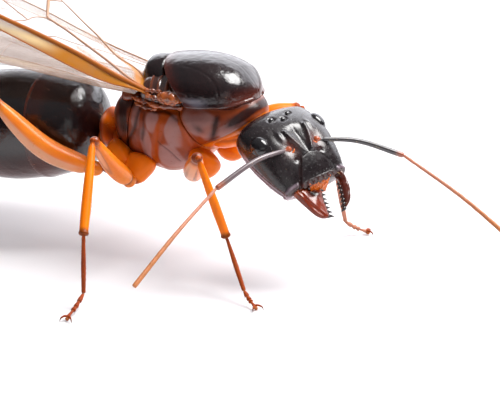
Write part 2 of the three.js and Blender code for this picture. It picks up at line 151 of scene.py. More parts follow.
class Route:
    """A smooth curve through a few places, walked evenly by its length."""

    def __init__(self, *places: Sequence[float]) -> None:
        """Samples the curve.

        Args:
            places: The places that it passes, two for a straight line.
        """
        p = np.asarray(places, float)
        if len(p) == 2:
            dense = p[0] + np.linspace(0, 1, 65)[:, None] * (p[1] - p[0])
        else:
            p = np.vstack([2 * p[0] - p[1], p, 2 * p[-1] - p[-2]])
            spans = [self._span(*p[i : i + 4]) for i in range(len(p) - 3)]
            dense = np.vstack([s[:-1] for s in spans] + [p[-2][None]])
        self.dense = dense
        steps = np.linalg.norm(np.diff(dense, axis=0), axis=1)
        self.run = np.concatenate([[0], np.cumsum(steps)])
        self.length = float(self.run[-1])
        heading = np.gradient(dense, self.run, axis=0)
        self.heading = heading / np.linalg.norm(heading, axis=1, keepdims=True)

    @staticmethod
    def _span(a: Array, b: Array, c: Array, d: Array) -> Array:
        """One centripetal span from b to c, with a and d as its neighbours.

        Args:
            a: The neighbour before.
            b: The start.
            c: The end.
            d: The neighbour after.

        Returns:
            Places along the span.
        """
        ab, bc, cd = (max(np.linalg.norm(q - p), 1e-8) ** 0.5 for p, q in ((a, b), (b, c), (c, d)))
        t1 = ((b - a) / ab - (c - a) / (ab + bc) + (c - b) / bc) * bc
        t2 = ((c - b) / bc - (d - b) / (bc + cd) + (d - c) / cd) * bc
        w = np.linspace(0, 1, 49)[:, None]
        cubic = (2 * b - 2 * c + t1 + t2) * w**3 + (-3 * b + 3 * c - 2 * t1 - t2) * w**2
        return cubic + t1 * w + b

    def walk(self, share: Array) -> tuple[Array, Array]:
        """Places and headings at shares of the length.

        Args:
            share: Shares from 0 to 1.

        Returns:
            The places, and the unit headings there.
        """
        run = np.clip(share, 0, 1) * self.length
        place = np.stack([np.interp(run, self.run, self.dense[:, k]) for k in range(self.dense.shape[1])], -1)
        head = np.stack(
            [np.interp(run, self.run, self.heading[:, k]) for k in range(self.dense.shape[1])], -1
        )
        return place, head / np.linalg.norm(head, axis=-1, keepdims=True)


def unit(v: Array) -> Array:
    """Vectors scaled to length 1."""
    return v / np.maximum(np.linalg.norm(v, axis=-1, keepdims=True), 1e-12)


def rounding(share: Array, length: float) -> Array:
    """How far a rounded end has opened at each share, where it takes up the share length."""
    return np.sqrt(np.maximum(0, 1 - (np.maximum(0, length - share) / length) ** 2))


def fade(low: float, high: float, value: Array) -> Array:
    """A smooth step from 0 at low to 1 at high."""
    t = np.clip((value - low) / (high - low), 0, 1)
    return t * t * (3 - 2 * t)


def bump(value: Array, middle: float | Array, width: float) -> Array:
    """A smooth bump, 1 where the value is at the middle and falling off over the width."""
    return np.exp(-(((value - middle) / width) ** 2))


def linked(name: str, data: bpy.types.ID) -> bpy.types.Object:
    """A new object of the scene that holds the data.

    Args:
        name: The object's name.
        data: Its mesh, light or camera.

    Returns:
        The object.
    """
    obj = bpy.data.objects.new(name, data)
    bpy.context.scene.collection.objects.link(obj)
    return obj


def paint(mesh: bpy.types.Mesh, name: str, values: Array) -> None:
    """Stores a number for each corner of a mesh."""
    mesh.attributes.new(name, "FLOAT", "POINT").data.foreach_set("value", values.astype(np.float32))


@dataclass(frozen=True)
class Line:
    """A suture, ridge or band drawn through a few spots in a view."""

    spots: tuple[Spot, ...]
    width: float
    height: float = 0.0
    view: View = View.SIDE

    def weight(self, points: Array, crisp: bool = False) -> Array:
        """How much of the line each point has, 1 on the line and falling off over its width.

        Args:
            points: Places on a surface; both sides of the ant are marked alike.
            crisp: Whether the line is a band with a clear edge at its width.

        Returns:
            A weight from 0 to 1 for each place.
        """
        q = self.view.flat(points)
        trail = Route(*self.spots).dense[:: 8 if len(self.spots) > 2 else 64]
        nearest = np.full(q.shape[:-1], np.inf)
        for a, b in zip(trail[:-1], trail[1:]):
            ab = b - a
            t = np.clip(((q - a) @ ab) / max(ab @ ab, 1e-12), 0, 1)
            nearest = np.minimum(nearest, np.linalg.norm(q - a - t[..., None] * ab, axis=-1))
        if crisp:
            return fade(1.2, 0.8, nearest / self.width)
        return np.exp(-((nearest / self.width) ** 2))


@dataclass(frozen=True)
class Patch:
    """A soft oval patch at a spot in a view, turned by an angle."""

    spot: Spot
    reach: Spot
    turn: float = 0.0
    view: View = View.SIDE

    def weight(self, points: Array, crisp: bool = False) -> Array:
        """How much of the patch each point has, 1 in the middle.

        Args:
            points: Places on a surface; both sides of the ant are marked alike.
            crisp: Whether the patch is squarish, with a clear edge at its reach.

        Returns:
            A weight from 0 to 1 for each place.
        """
        x, y = np.moveaxis(self.view.flat(points) - self.spot, -1, 0)
        c, s = math.cos(self.turn), math.sin(self.turn)
        along, across = (x * c + y * s) / self.reach[0], (y * c - x * s) / self.reach[1]
        if crisp:
            return fade(1.12, 0.82, (np.abs(along) ** 3 + np.abs(across) ** 3) ** (1 / 3))
        return np.exp(-(along**2) - across**2)


def near(points: Array, place: Sequence[float], reach: Sequence[float] | float) -> Array:
    """A soft ball of weight round a place, mirrored to both sides.

    Args:
        points: Places on a surface.
        place: The middle, with Y as a distance from the ant's middle plane.
        reach: The radius, or one for each axis.

    Returns:
        A weight from 0 to 1 for each place.
    """
    q = np.stack([points[..., 0], np.abs(points[..., 1]), points[..., 2]], -1) - np.asarray(place, float)
    return np.exp(-((q / np.asarray(reach, float)) ** 2).sum(-1))


class Skin:
    """A closed surface of stations along a spine and columns round it, whose two ends are poles."""

    def __init__(self, points: Array, spine: Array, share: Array) -> None:
        """Keeps the grid.

        Args:
            points: The places, stations by columns.
            spine: The spine's place at each station.
            share: Each station's share of the way along.
        """
        self.points = points
        self.spine = spine
        self.share = share
        self.tones: dict[Tone, Array] = {}

    def normals(self) -> Array:
        """Unit normals that point outwards, one for each grid place.

        Returns:
            The normals, in step with the points.
        """
        p = self.points
        round_ = np.roll(p, -1, 1) - np.roll(p, 1, 1)
        along = np.gradient(p, axis=0)
        n = np.cross(round_, along)
        n = unit(n)
        out = ((p - self.spine[:, None]) * n).sum()
        n = n if out > 0 else -n
        n[0], n[-1] = unit(n[1].mean(0)), unit(n[-2].mean(0))
        return n

    def push(self, height: Array) -> "Skin":
        """Moves each place along its normal by a height, given for each place or each station.

        Args:
            height: The height.

        Returns:
            The skin itself.
        """
        height = self.spread(height)
        height[0], height[-1] = height[0].mean(), height[-1].mean()
        self.points = self.points + self.normals() * height[..., None]
        return self

    def spread(self, value: Array | float) -> Array:
        """A value for the whole skin, for each station or for each place, as one for each place.

        Args:
            value: The value.

        Returns:
            An array of its own, stations by columns.
        """
        value = np.asarray(value, float)
        value = value[:, None] if value.ndim == 1 else value
        return np.broadcast_to(value, self.points.shape[:2]).copy()

    def mark(self, tone: Tone, weight: Array | float) -> "Skin":
        """Adds a weight to a tone, kept from 0 to 1."""
        self.tones[tone] = np.clip(self.tones.get(tone, 0) + self.spread(weight), 0, 1)
        return self

    def cut(self, place: Place, outward: Place, soft: float = 0.02, pull: float = 0.12) -> "Skin":
        """Ends the body at a plane with a rounded edge, drawing what lies beyond onto it.

        Args:
            place: A place on the plane.
            outward: The direction that is cut away.
            soft: Size of the rounded edge.
            pull: How soon what lies beyond is drawn in to the spine.

        Returns:
            The skin itself.
        """
        out = unit(np.asarray(outward, float))
        d = (self.points - np.asarray(place)) @ out
        draw = 1 / (1 + (np.maximum(d, 0) / pull) ** 2)
        centre = self.spine[:, None]
        p = centre + (self.points - centre) * draw[..., None]
        d = (p - np.asarray(place)) @ out
        held = -soft * np.logaddexp(0, -d / soft)
        self.points = p + out * (held - d)[..., None]
        return self

    def shell(self) -> "Shell":
        """The skin as a shell of corners and faces.

        Returns:
            The shell, with a map that runs round and along.
        """
        s, c = self.points.shape[:2]
        corners = np.vstack([self.points[:1, 0], self.points[1:-1].reshape(-1, 3), self.points[-1:, 0]])
        j = np.arange(c)
        k = (j + 1) % c
        quads, quad_uv = [], []
        for i in range(1, s - 2):
            a, b = 1 + (i - 1) * c, 1 + i * c
            quads.append(np.stack([a + j, a + k, b + k, b + j], 1))
            u0, u1, v0, v1 = j / c, (j + 1) / c, np.full(c, self.share[i]), np.full(c, self.share[i + 1])
            quad_uv.append(np.stack([u0, v0, u1, v0, u1, v1, u0, v1], 1).reshape(-1, 4, 2))
        last, tip = 1 + (s - 3) * c, len(corners) - 1
        fans = [
            np.stack([np.zeros(c, int), 1 + k, 1 + j], 1), np.stack([np.full(c, tip), last + j, last + k], 1)
        ]
        fan_uv = []
        for row, v in ((1, 0.0), (s - 2, 1.0)):
            a, b = (j + 1, j) if row == 1 else (j, j + 1)
            side = np.full(c, self.share[row])
            fan_uv.append(
                np.stack([(j + 0.5) / c, np.full(c, v), a / c, side, b / c, side], 1).reshape(-1, 3, 2)
            )
        tones = {n: np.concatenate([t[:1, 0], t[1:-1].reshape(-1), t[-1:, 0]]) for n, t in self.tones.items()}
        return Shell(corners, [np.vstack(quads), *fans], [np.vstack(quad_uv), *fan_uv], tones)


class Shell:
    """Corners, faces, a map and tones, before they become a Blender mesh."""

    def __init__(
        self, corners: Array, faces: list[Array], maps: list[Array], tones: dict[Tone, Array]
    ) -> None:
        """Keeps the arrays.

        Args:
            corners: Places in millimetres.
            faces: Arrays of three- or four-cornered faces.
            maps: The map place of each face's corners, in step with faces.
            tones: A weight of each tone for each corner.
        """
        self.corners = corners
        self.faces = faces
        self.maps = maps
        self.tones = tones
        if self.volume() < 0:
            self.faces = [f[:, ::-1] for f in faces]
            self.maps = [m[:, ::-1] for m in maps]

    def volume(self) -> float:
        """The signed volume, negative when the shell is inside out.

        Returns:
            Cubic millimetres.
        """
        total = 0.0
        for f in self.faces:
            p = self.corners[f]
            for i in range(1, f.shape[1] - 1):
                total += float((p[:, 0] * np.cross(p[:, i], p[:, i + 1])).sum())
        return total / 6

    @staticmethod
    def joined(shells: Iterable["Shell"]) -> "Shell":
        """Several shells as one, each with every tone.

        Args:
            shells: The shells.

        Returns:
            One shell.
        """
        many = list(shells)
        shared = [t for t in Tone if any(t in s.tones for s in many)]
        start, faces, maps = 0, [], []
        for s in many:
            faces += [f + start for f in s.faces]
            maps += s.maps
            start += len(s.corners)
        tones = {t: np.concatenate([s.tones.get(t, np.zeros(len(s.corners))) for s in many]) for t in shared}
        whole = Shell.__new__(Shell)
        whole.corners, whole.faces = np.vstack([s.corners for s in many]), faces
        whole.maps, whole.tones = maps, tones
        return whole

    def object(self, name: str) -> bpy.types.Object:
        """A Blender object of the shell, in millimetres and smooth.

        Args:
            name: The object's name.

        Returns:
            The object, linked to the scene.
        """
        mesh = bpy.data.meshes.new(name)
        mesh.vertices.add(len(self.corners))
        mesh.vertices.foreach_set("co", self.corners.astype(np.float32).ravel())
        sizes = np.concatenate([np.full(len(f), f.shape[1]) for f in self.faces])
        loops = np.concatenate([f.ravel() for f in self.faces])
        mesh.loops.add(len(loops))
        mesh.loops.foreach_set("vertex_index", loops.astype(np.int32))
        mesh.polygons.add(len(sizes))
        mesh.polygons.foreach_set("loop_start", np.concatenate([[0], np.cumsum(sizes)[:-1]]).astype(np.int32))
        mesh.polygons.foreach_set("use_smooth", np.ones(len(sizes), bool))
        layer = mesh.uv_layers.new(name="UVMap")
        layer.data.foreach_set("uv", np.concatenate([m.reshape(-1) for m in self.maps]).astype(np.float32))
        for tone, values in self.tones.items():
            paint(mesh, tone.value, values)
        mesh.update(calc_edges=True)
        mesh.validate()
        return linked(name, mesh)


@dataclass(frozen=True)
class Loft:
    """A closed organ along a spine, from the reach of its section to the sides, upwards and downwards."""

    route: tuple[Place, ...]
    width: Profile
    top: Profile | None = None
    bottom: Profile | None = None
    square: float = 2.0
    start: float = 0.12
    end: float = 0.12
    up: Place = (0, 0, 1)
    stations: int = 60
    columns: int = 40

    def skin(self, swell: float = 0.0) -> Skin:
        """Builds the surface.

        Args:
            swell: How far the surface stands out from its sizes.

        Returns:
            The skin, with poles at both ends.
        """
        top = self.top or self.width
        bottom = self.bottom or top
        along = -np.cos(np.linspace(0, np.pi, self.stations + 1))
        t = (along + 1) / 2
        spine, forward = Route(*self.route).walk(t)
        side = unit(np.cross(np.asarray(self.up, float), forward))
        above = np.cross(forward, side)
        turn = np.linspace(0, 2 * np.pi, self.columns, endpoint=False)
        power = 2 / self.square
        across = np.sign(np.cos(turn)) * np.abs(np.cos(turn)) ** power
        high = np.sign(np.sin(turn)) * np.abs(np.sin(turn)) ** power
        open_ = rounding(t, self.start) * rounding(1 - t, self.end)
        wide = self.width.at(t) * open_ + swell * (open_ > 0)
        tall = np.where(high > 0, (top.at(t) * open_)[:, None], (bottom.at(t) * open_)[:, None]) + swell
        tall = tall * (open_ > 0)[:, None]
        spine = spine + forward * (along * swell)[:, None]
        points = spine[:, None] + side[:, None] * (across * wide[:, None])[..., None]
        points = points + above[:, None] * (high * tall)[..., None]
        return Skin(points, spine, t)


def pillow(top: Array, bottom: Array, tones: dict[Tone, Array] | None = None) -> Shell:
    """A closed plate between two grids that share their rim.

    Args:
        top: Places of the upper face, rows by columns.
        bottom: Places of the lower face; only those inside the rim are used.
        tones: Weights of the upper face, used for both.

    Returns:
        The shell.
    """
    r, c = top.shape[:2]
    upper = np.arange(r * c).reshape(r, c)
    lower = upper.copy()
    inside = np.zeros((r, c), bool)
    inside[1:-1, 1:-1] = True
    lower[inside] = r * c + np.arange(inside.sum())
    corners = np.vstack([top.reshape(-1, 3), bottom[inside]])
    u, v = np.meshgrid(np.linspace(0, 1, c), np.linspace(0, 1, r))
    uv = np.stack([u, v], -1)

    def faces(grid: Array, flip: bool) -> tuple[Array, Array]:
        """The quads of one face of the plate, and their map."""
        parts = [
            (slice(a, a - 1 or None), slice(b, b - 1 or None)) for a, b in ((0, 0), (0, 1), (1, 1), (1, 0))
        ]
        quads = np.stack([grid[part].ravel() for part in parts], 1)
        spots = np.stack([uv[part].reshape(-1, 2) for part in parts], 1)
        return (quads[:, ::-1], spots[:, ::-1]) if flip else (quads, spots)

    a, b = faces(upper, False), faces(lower, True)
    every = {n: np.concatenate([t.reshape(-1), t[inside]]) for n, t in (tones or {}).items()}
    return Shell(corners, [a[0], b[0]], [a[1], b[1]], every)


# ---------------------------------------------------------------- finishes


class Nodes:
    """A short way to lay out a shader or geometry node tree."""

    def __init__(self, tree: bpy.types.NodeTree) -> None:
        """Starts on a tree that is emptied first."""
        self.tree = tree
        tree.nodes.clear()

    def add(
        self, kind: str, inputs: dict[str | int, object] | None = None, **settings: object
    ) -> bpy.types.Node:
        """Adds a node.

        Args:
            kind: Its Blender type name.
            inputs: A value or an output socket for each input.
            settings: Properties of the node itself.

        Returns:
            The node.
        """
        node = self.tree.nodes.new(kind)
        for key, value in settings.items():
            setattr(node, key, value)
        for key, value in (inputs or {}).items():
            if isinstance(value, bpy.types.NodeSocket):
                self.tree.links.new(value, node.inputs[key])
            else:
                node.inputs[key].default_value = value
        return node

    def out(self, kind: str, inputs: dict[str | int, object] | None = None, **settings: object) -> Socket:
        """The first output of a new node, made as add makes it."""
        return self.add(kind, inputs, **settings).outputs[0]

    def math(
        self, how: str, a: object, b: object = 0.0, clamp: bool = False, plus: float | None = None
    ) -> Socket:
        """The output of a Math node, whose third input is plus."""
        third = {} if plus is None else {2: plus}
        return self.out("ShaderNodeMath", {0: a, 1: b, **third}, operation=how, use_clamp=clamp)

    def noise(self, place: Socket, scale: float, detail: float) -> Socket:
        """The height of a cloudy noise.

        Args:
            place: Where, as a socket.
            scale: How fine.
            detail: How many finer layers.

        Returns:
            The height's socket.
        """
        inputs = {"Vector": place, "Scale": scale, "Detail": detail}
        return self.add("ShaderNodeTexNoise", inputs).outputs["Fac"]

    def tone(self, tone: Tone) -> Socket:
        """A tone's weight on the surface."""
        return self.add("ShaderNodeAttribute", attribute_name=tone.value).outputs["Fac"]

    def relief(self, height: Socket, strength: float, distance: float, under: Socket | None = None) -> Socket:
        """The normals of a relief, laid over an earlier one where there is one.

        Args:
            height: The height's socket.
            strength: How strong.
            distance: How high.
            under: An earlier relief's normals.

        Returns:
            The normals' socket.
        """
        first = {} if under is None else {"Normal": under}
        return self.out(
            "ShaderNodeBump", {"Height": height, "Strength": strength, "Distance": distance, **first}
        )

    def shade(self, inputs: dict[str, object]) -> None:
        """Ends a material in its surface shader."""
        shader = self.out("ShaderNodeBsdfPrincipled", inputs)
        self.add("ShaderNodeOutputMaterial", {"Surface": shader})

    def blend(self, share: object, a: object, b: object) -> Socket:
        """A colour between a and b.

        Args:
            share: How far towards b, from 0 to 1.
            a: A colour, or the socket of one.
            b: A colour, or the socket of one.

        Returns:
            The colour's socket.
        """
        node = self.tree.nodes.new("ShaderNodeMix")
        node.data_type = "RGBA"
        for socket, value in ((node.inputs[0], share), (node.inputs[6], a), (node.inputs[7], b)):
            if isinstance(value, bpy.types.NodeSocket):
                self.tree.links.new(value, socket)
            else:
                socket.default_value = (*value, 1) if isinstance(value, tuple) else value
        return node.outputs[2]


@dataclass(frozen=True)
class Finish:
    """A finish, whose material bears its name."""

    name: str

    def start(self) -> tuple[bpy.types.Material, Nodes, Socket]:
        """Starts the material.

        Returns:
            The material, the tool that lays out its nodes, and its places in millimetres.
        """
        mat = bpy.data.materials.new(self.name)
        mat.use_nodes = True
        n = Nodes(mat.node_tree)
        place = n.add("ShaderNodeTexCoord").outputs["Object"]
        return mat, n, n.out("ShaderNodeMapping", {"Vector": place, "Scale": (1000, 1000, 1000)})


@dataclass(frozen=True)
class ShellFinish(Finish):
    """Polished insect shell, whose colour drifts and whose seams, dark patches and pale patches come from
    tones; some dark patches are painted shade, and most pale ones are painted reflections and highlights.
    """

    base: Colour
    drift: Colour
    seam: Colour
    gloom: Colour
    roughness: float = 0.22
    ior: float = 1.6
    coat: float = 0.0
    glow: float = 0.0
    glow_reach: Colour = (1.0, 0.35, 0.12)
    amber: Colour = (0.62, 0.135, 0.004)
    polish: float = 0.5
    pits: float = 0.4
    pit_scale: float = 9.0
    grain: float = 0.35
    grain_scale: float = 38.0
    drift_scale: float = 1.3
    # The colour of pale patches, on most shells painted reflections and highlights.
    pale: Colour = (0.7, 0.45, 0.38)
    swell: float = 0.35

    def material(self) -> bpy.types.Material:
        """Builds the material.

        Returns:
            The material.
        """
        mat, n, mm = self.start()
        wisp = n.noise(mm, self.drift_scale * 6, 3.0)
        drift = n.math("MULTIPLY_ADD", n.noise(mm, self.drift_scale, 4.0), 1.6, plus=-0.5)
        drift = n.math("ADD", drift, n.math("MULTIPLY", wisp, 0.35), True)
        colour = n.blend(drift, self.base, self.drift)
        shades = (
            (Tone.PALE, self.pale), (Tone.SEAM, self.seam), (Tone.AMBER, self.amber), (Tone.GLOOM, self.gloom)
        )
        for tone, shade in shades:
            weight = n.tone(tone)
            rough_edge = n.math("ADD", weight, n.math("MULTIPLY", n.math("SUBTRACT", wisp, 0.5), 0.25))
            share = n.math("MULTIPLY", rough_edge, n.math("GREATER_THAN", weight, 0.02), True)
            colour = n.blend(share, colour, shade)
        pit = n.out("ShaderNodeTexVoronoi", {"Vector": mm, "Scale": self.pit_scale})
        dot = n.out("ShaderNodeMapRange", {"Value": pit, 1: 0.04, 2: 0.2, 3: 0.0, 4: 1.0})
        relief = n.relief(dot, self.pits, 8e-6)
        relief = n.relief(n.noise(mm, self.grain_scale, 3.0), self.grain, 4e-6, relief)
        relief = n.relief(n.noise(mm, 4.5, 2.0), self.swell, 1.2e-5, relief)
        n.shade({
            "Base Color": colour,
            "Roughness": n.math("MULTIPLY_ADD", wisp, 0.14, plus=self.roughness - 0.07),
            "IOR": self.ior,
            "Specular IOR Level": self.polish,
            "Coat Weight": self.coat,
            "Coat Roughness": 0.08,
            "Subsurface Weight": self.glow,
            "Subsurface Radius": self.glow_reach,
            "Subsurface Scale": 3e-4,
            "Normal": relief,
            "Coat Normal": relief,
        })
        return mat


@dataclass(frozen=True)
class EyeFinish(Finish):
    """A compound eye: black glass over a close-packed honeycomb of facets."""

    base: Colour = (0.006, 0.006, 0.008)
    edge: Colour = (0.012, 0.009, 0.01)
    facets: float = 34.0

    def material(self) -> bpy.types.Material:
        """Builds the material.

        Returns:
            The material.
        """
        mat, n, mm = self.start()
        cells = n.out("ShaderNodeTexVoronoi", {"Vector": mm, "Scale": self.facets, "Randomness": 0.15})
        colour = n.blend(n.math("MULTIPLY", cells, 1.1, True), self.base, self.edge)
        relief = n.relief(n.math("SUBTRACT", 1.0, cells), 0.12, 4e-6)
        n.shade({"Base Color": colour, "Roughness": 0.16, "IOR": 1.7, "Normal": relief})
        return mat


@dataclass(frozen=True)
class FilmFinish(Finish):
    """Wing film: clear and faintly smoky, amber where its tone says so."""

    film: Colour = (0.42, 0.36, 0.32)
    amber: Colour = (0.52, 0.18, 0.005)
    pale: Colour = (0.95, 0.7, 0.34)
    clear_share: float = 0.1
    amber_share: float = 0.74
    polish: float = 0.5

    def material(self) -> bpy.types.Material:
        """Builds the material.

        Returns:
            The material.
        """
        mat, n, mm = self.start()
        cloud = n.noise(mm, 1.1, 4.0)
        uneven = n.math(
            "MULTIPLY", n.tone(Tone.AMBER), n.math("ADD", n.math("MULTIPLY", cloud, 0.5), 0.75), True
        )
        colour = n.blend(n.tone(Tone.PALE), n.blend(uneven, self.film, self.amber), self.pale)
        base = n.math("MULTIPLY_ADD", cloud, 0.12, plus=self.clear_share - 0.06)
        n.shade({
            "Base Color": colour,
            "Roughness": 0.24,
            "IOR": 1.56,
            "Specular IOR Level": self.polish,
            "Alpha": n.math("ADD", base, n.math("MULTIPLY", uneven, self.amber_share), True),
            "Normal": n.relief(n.noise(mm, 3.2, 3.0), 0.4, 2.5e-5),
        })
        return mat


@dataclass(frozen=True)
class FibreFinish(Finish):
    """Hairs and bristles: a colour that drifts from one to another."""

    root: Colour
    tip: Colour

    def material(self) -> bpy.types.Material:
        """Builds the material.

        Returns:
            The material.
        """
        mat, n, mm = self.start()
        n.shade({"Base Color": n.blend(n.noise(mm, 5.0, 2.0), self.root, self.tip), "Roughness": 0.4})
        return mat


class Coat(Enum):
    """Every finish that the ant wears."""

    # Its blue-grey pale is a painted floor reflection, laid on the scutum's lower flange.
    BLACK = ShellFinish(
        "polished_black", (0.005, 0.002, 0.003), (0.014, 0.003, 0.003), (0.06, 0.008, 0.004),
        (0.11, 0.018, 0.008),
        roughness=0.22, ior=1.6, coat=0.3, pits=0.25, swell=1.5, pale=(0.16, 0.15, 0.19),
    )
    # Its pinkish-grey pale is a painted floor reflection on the lower cheeks and on the cheeks' rolled front
    # edges.
    HEAD = ShellFinish(
        "head_black", (0.005, 0.003, 0.004), (0.012, 0.005, 0.006), (0.1, 0.014, 0.005),
        (0.003, 0.002, 0.003),
        roughness=0.28, ior=1.6, coat=0.25, pits=0.9, pit_scale=12.0, grain=0.8, grain_scale=40.0, swell=0.7,
        amber=(0.5, 0.07, 0.012), pale=(0.34, 0.25, 0.3),
    )
    # Its mauve pale paints the floor's reflection as panels and a highlight along the pronotum's ledge; its
    # gloom is the folds' own dark and also painted shadow under the back.
    FLANK = ShellFinish(
        "flank_mauve", (0.34, 0.06, 0.009), (0.2, 0.03, 0.006), (0.38, 0.06, 0.002), (0.024, 0.005, 0.004),
        roughness=0.3, ior=1.55, polish=0.26, pits=0.1, drift_scale=1.6, amber=(0.72, 0.16, 0.004), swell=0.8,
        pale=(0.38, 0.195, 0.178),
    )
    RED_BROWN = ShellFinish(
        "red_brown", (0.1, 0.014, 0.005), (0.26, 0.05, 0.008), (0.46, 0.1, 0.01), (0.008, 0.002, 0.002),
        roughness=0.17, ior=1.6, polish=0.85, pits=0.2, swell=1.0,
    )
    # Its gloom is the dark of the teeth, cutting edges and tips, and also painted shade on the left jaw and
    # in the right jaw's notch.
    JAW = ShellFinish(
        "jaw_shell", (0.2, 0.021, 0.003), (0.1, 0.009, 0.002), (0.45, 0.085, 0.01), (0.007, 0.005, 0.005),
        roughness=0.17, ior=1.55, polish=0.5, pits=1.0, pit_scale=17.0,
    )
    LIP = ShellFinish(
        "lip_orange", (0.78, 0.17, 0.006), (0.5, 0.07, 0.003), (0.36, 0.045, 0.003), (0.05, 0.008, 0.004),
        roughness=0.18, ior=1.55, polish=0.4, pits=0.6, pit_scale=14.0, drift_scale=3.5,
    )
    # Its pale is the painted sheen on the front left thigh, and the pale stripe of the waist.
    ORANGE = ShellFinish(
        "orange_amber", (0.95, 0.21, 0.002), (0.74, 0.13, 0.002), (0.24, 0.03, 0.003), (0.05, 0.008, 0.004),
        roughness=0.35, ior=1.45, polish=0.2, pits=0.12, drift_scale=0.9, pale=(0.85, 0.56, 0.45),
    )
    # Its pale is the painted sheen along the thighs.
    PALE_ORANGE = ShellFinish(
        "pale_orange", (0.86, 0.24, 0.012), (0.8, 0.17, 0.005), (0.2, 0.03, 0.006), (0.05, 0.008, 0.004),
        roughness=0.3, ior=1.55, polish=0.4, glow=0.15, pits=0.12, drift_scale=1.4, pale=(0.76, 0.35, 0.19),
    )
    FOOT = ShellFinish(
        "foot_shell", (0.25, 0.038, 0.009), (0.38, 0.068, 0.012), (0.42, 0.13, 0.04), (0.04, 0.008, 0.006),
        roughness=0.36, ior=1.45, polish=0.12, pits=0.25, pit_scale=16.0, pale=(0.66, 0.36, 0.28),
    )
    FEELER = ShellFinish(
        "feeler_shell", (0.4, 0.15, 0.09), (0.5, 0.19, 0.1), (0.24, 0.06, 0.03), (0.3, 0.19, 0.18),
        roughness=0.42, ior=1.5, polish=0.4, glow=0.1, grain=0.6, pits=0.3, pit_scale=18.0,
        amber=(0.46, 0.15, 0.04),
    )
    # Its grey-mauve base is a painted reflection of the floor and sky along the right scape; its gloom is
    # painted shade that darkens the left scape.
    SCAPE = ShellFinish(
        "scape_shell", (0.15, 0.11, 0.12), (0.1, 0.06, 0.065), (0.3, 0.1, 0.05), (0.012, 0.006, 0.009),
        roughness=0.3, ior=1.65, polish=0.7, pits=0.3, pit_scale=18.0, amber=(0.36, 0.055, 0.001),
    )
    VEIN = ShellFinish(
        "vein", (0.42, 0.25, 0.19), (0.5, 0.28, 0.16), (0.34, 0.1, 0.012), (0.36, 0.095, 0.004),
        roughness=0.4, ior=1.5, polish=0.3, pits=0.1,
    )
    EYE = EyeFinish("facetted_eye")
    FOREWING = FilmFinish("forewing_film")
    # The hind wings' brown film is partly their own colour and partly painted shade.
    HINDWING = FilmFinish(
        "hindwing_film", film=(0.33, 0.225, 0.165), amber=(0.42, 0.22, 0.1), clear_share=0.42,
        amber_share=0.3, polish=0.2,
    )
    HAIR = FibreFinish("golden_hair", (0.5, 0.28, 0.09), (0.72, 0.52, 0.26))
    BRISTLE = FibreFinish("brown_bristle", (0.16, 0.05, 0.018), (0.36, 0.15, 0.05))

    @property
    def material(self) -> bpy.types.Material:
        """The finish's material, built once."""
        found = bpy.data.materials.get(self.value.name)
        return found or self.value.material()


# ---------------------------------------------------------------- geometry node trees


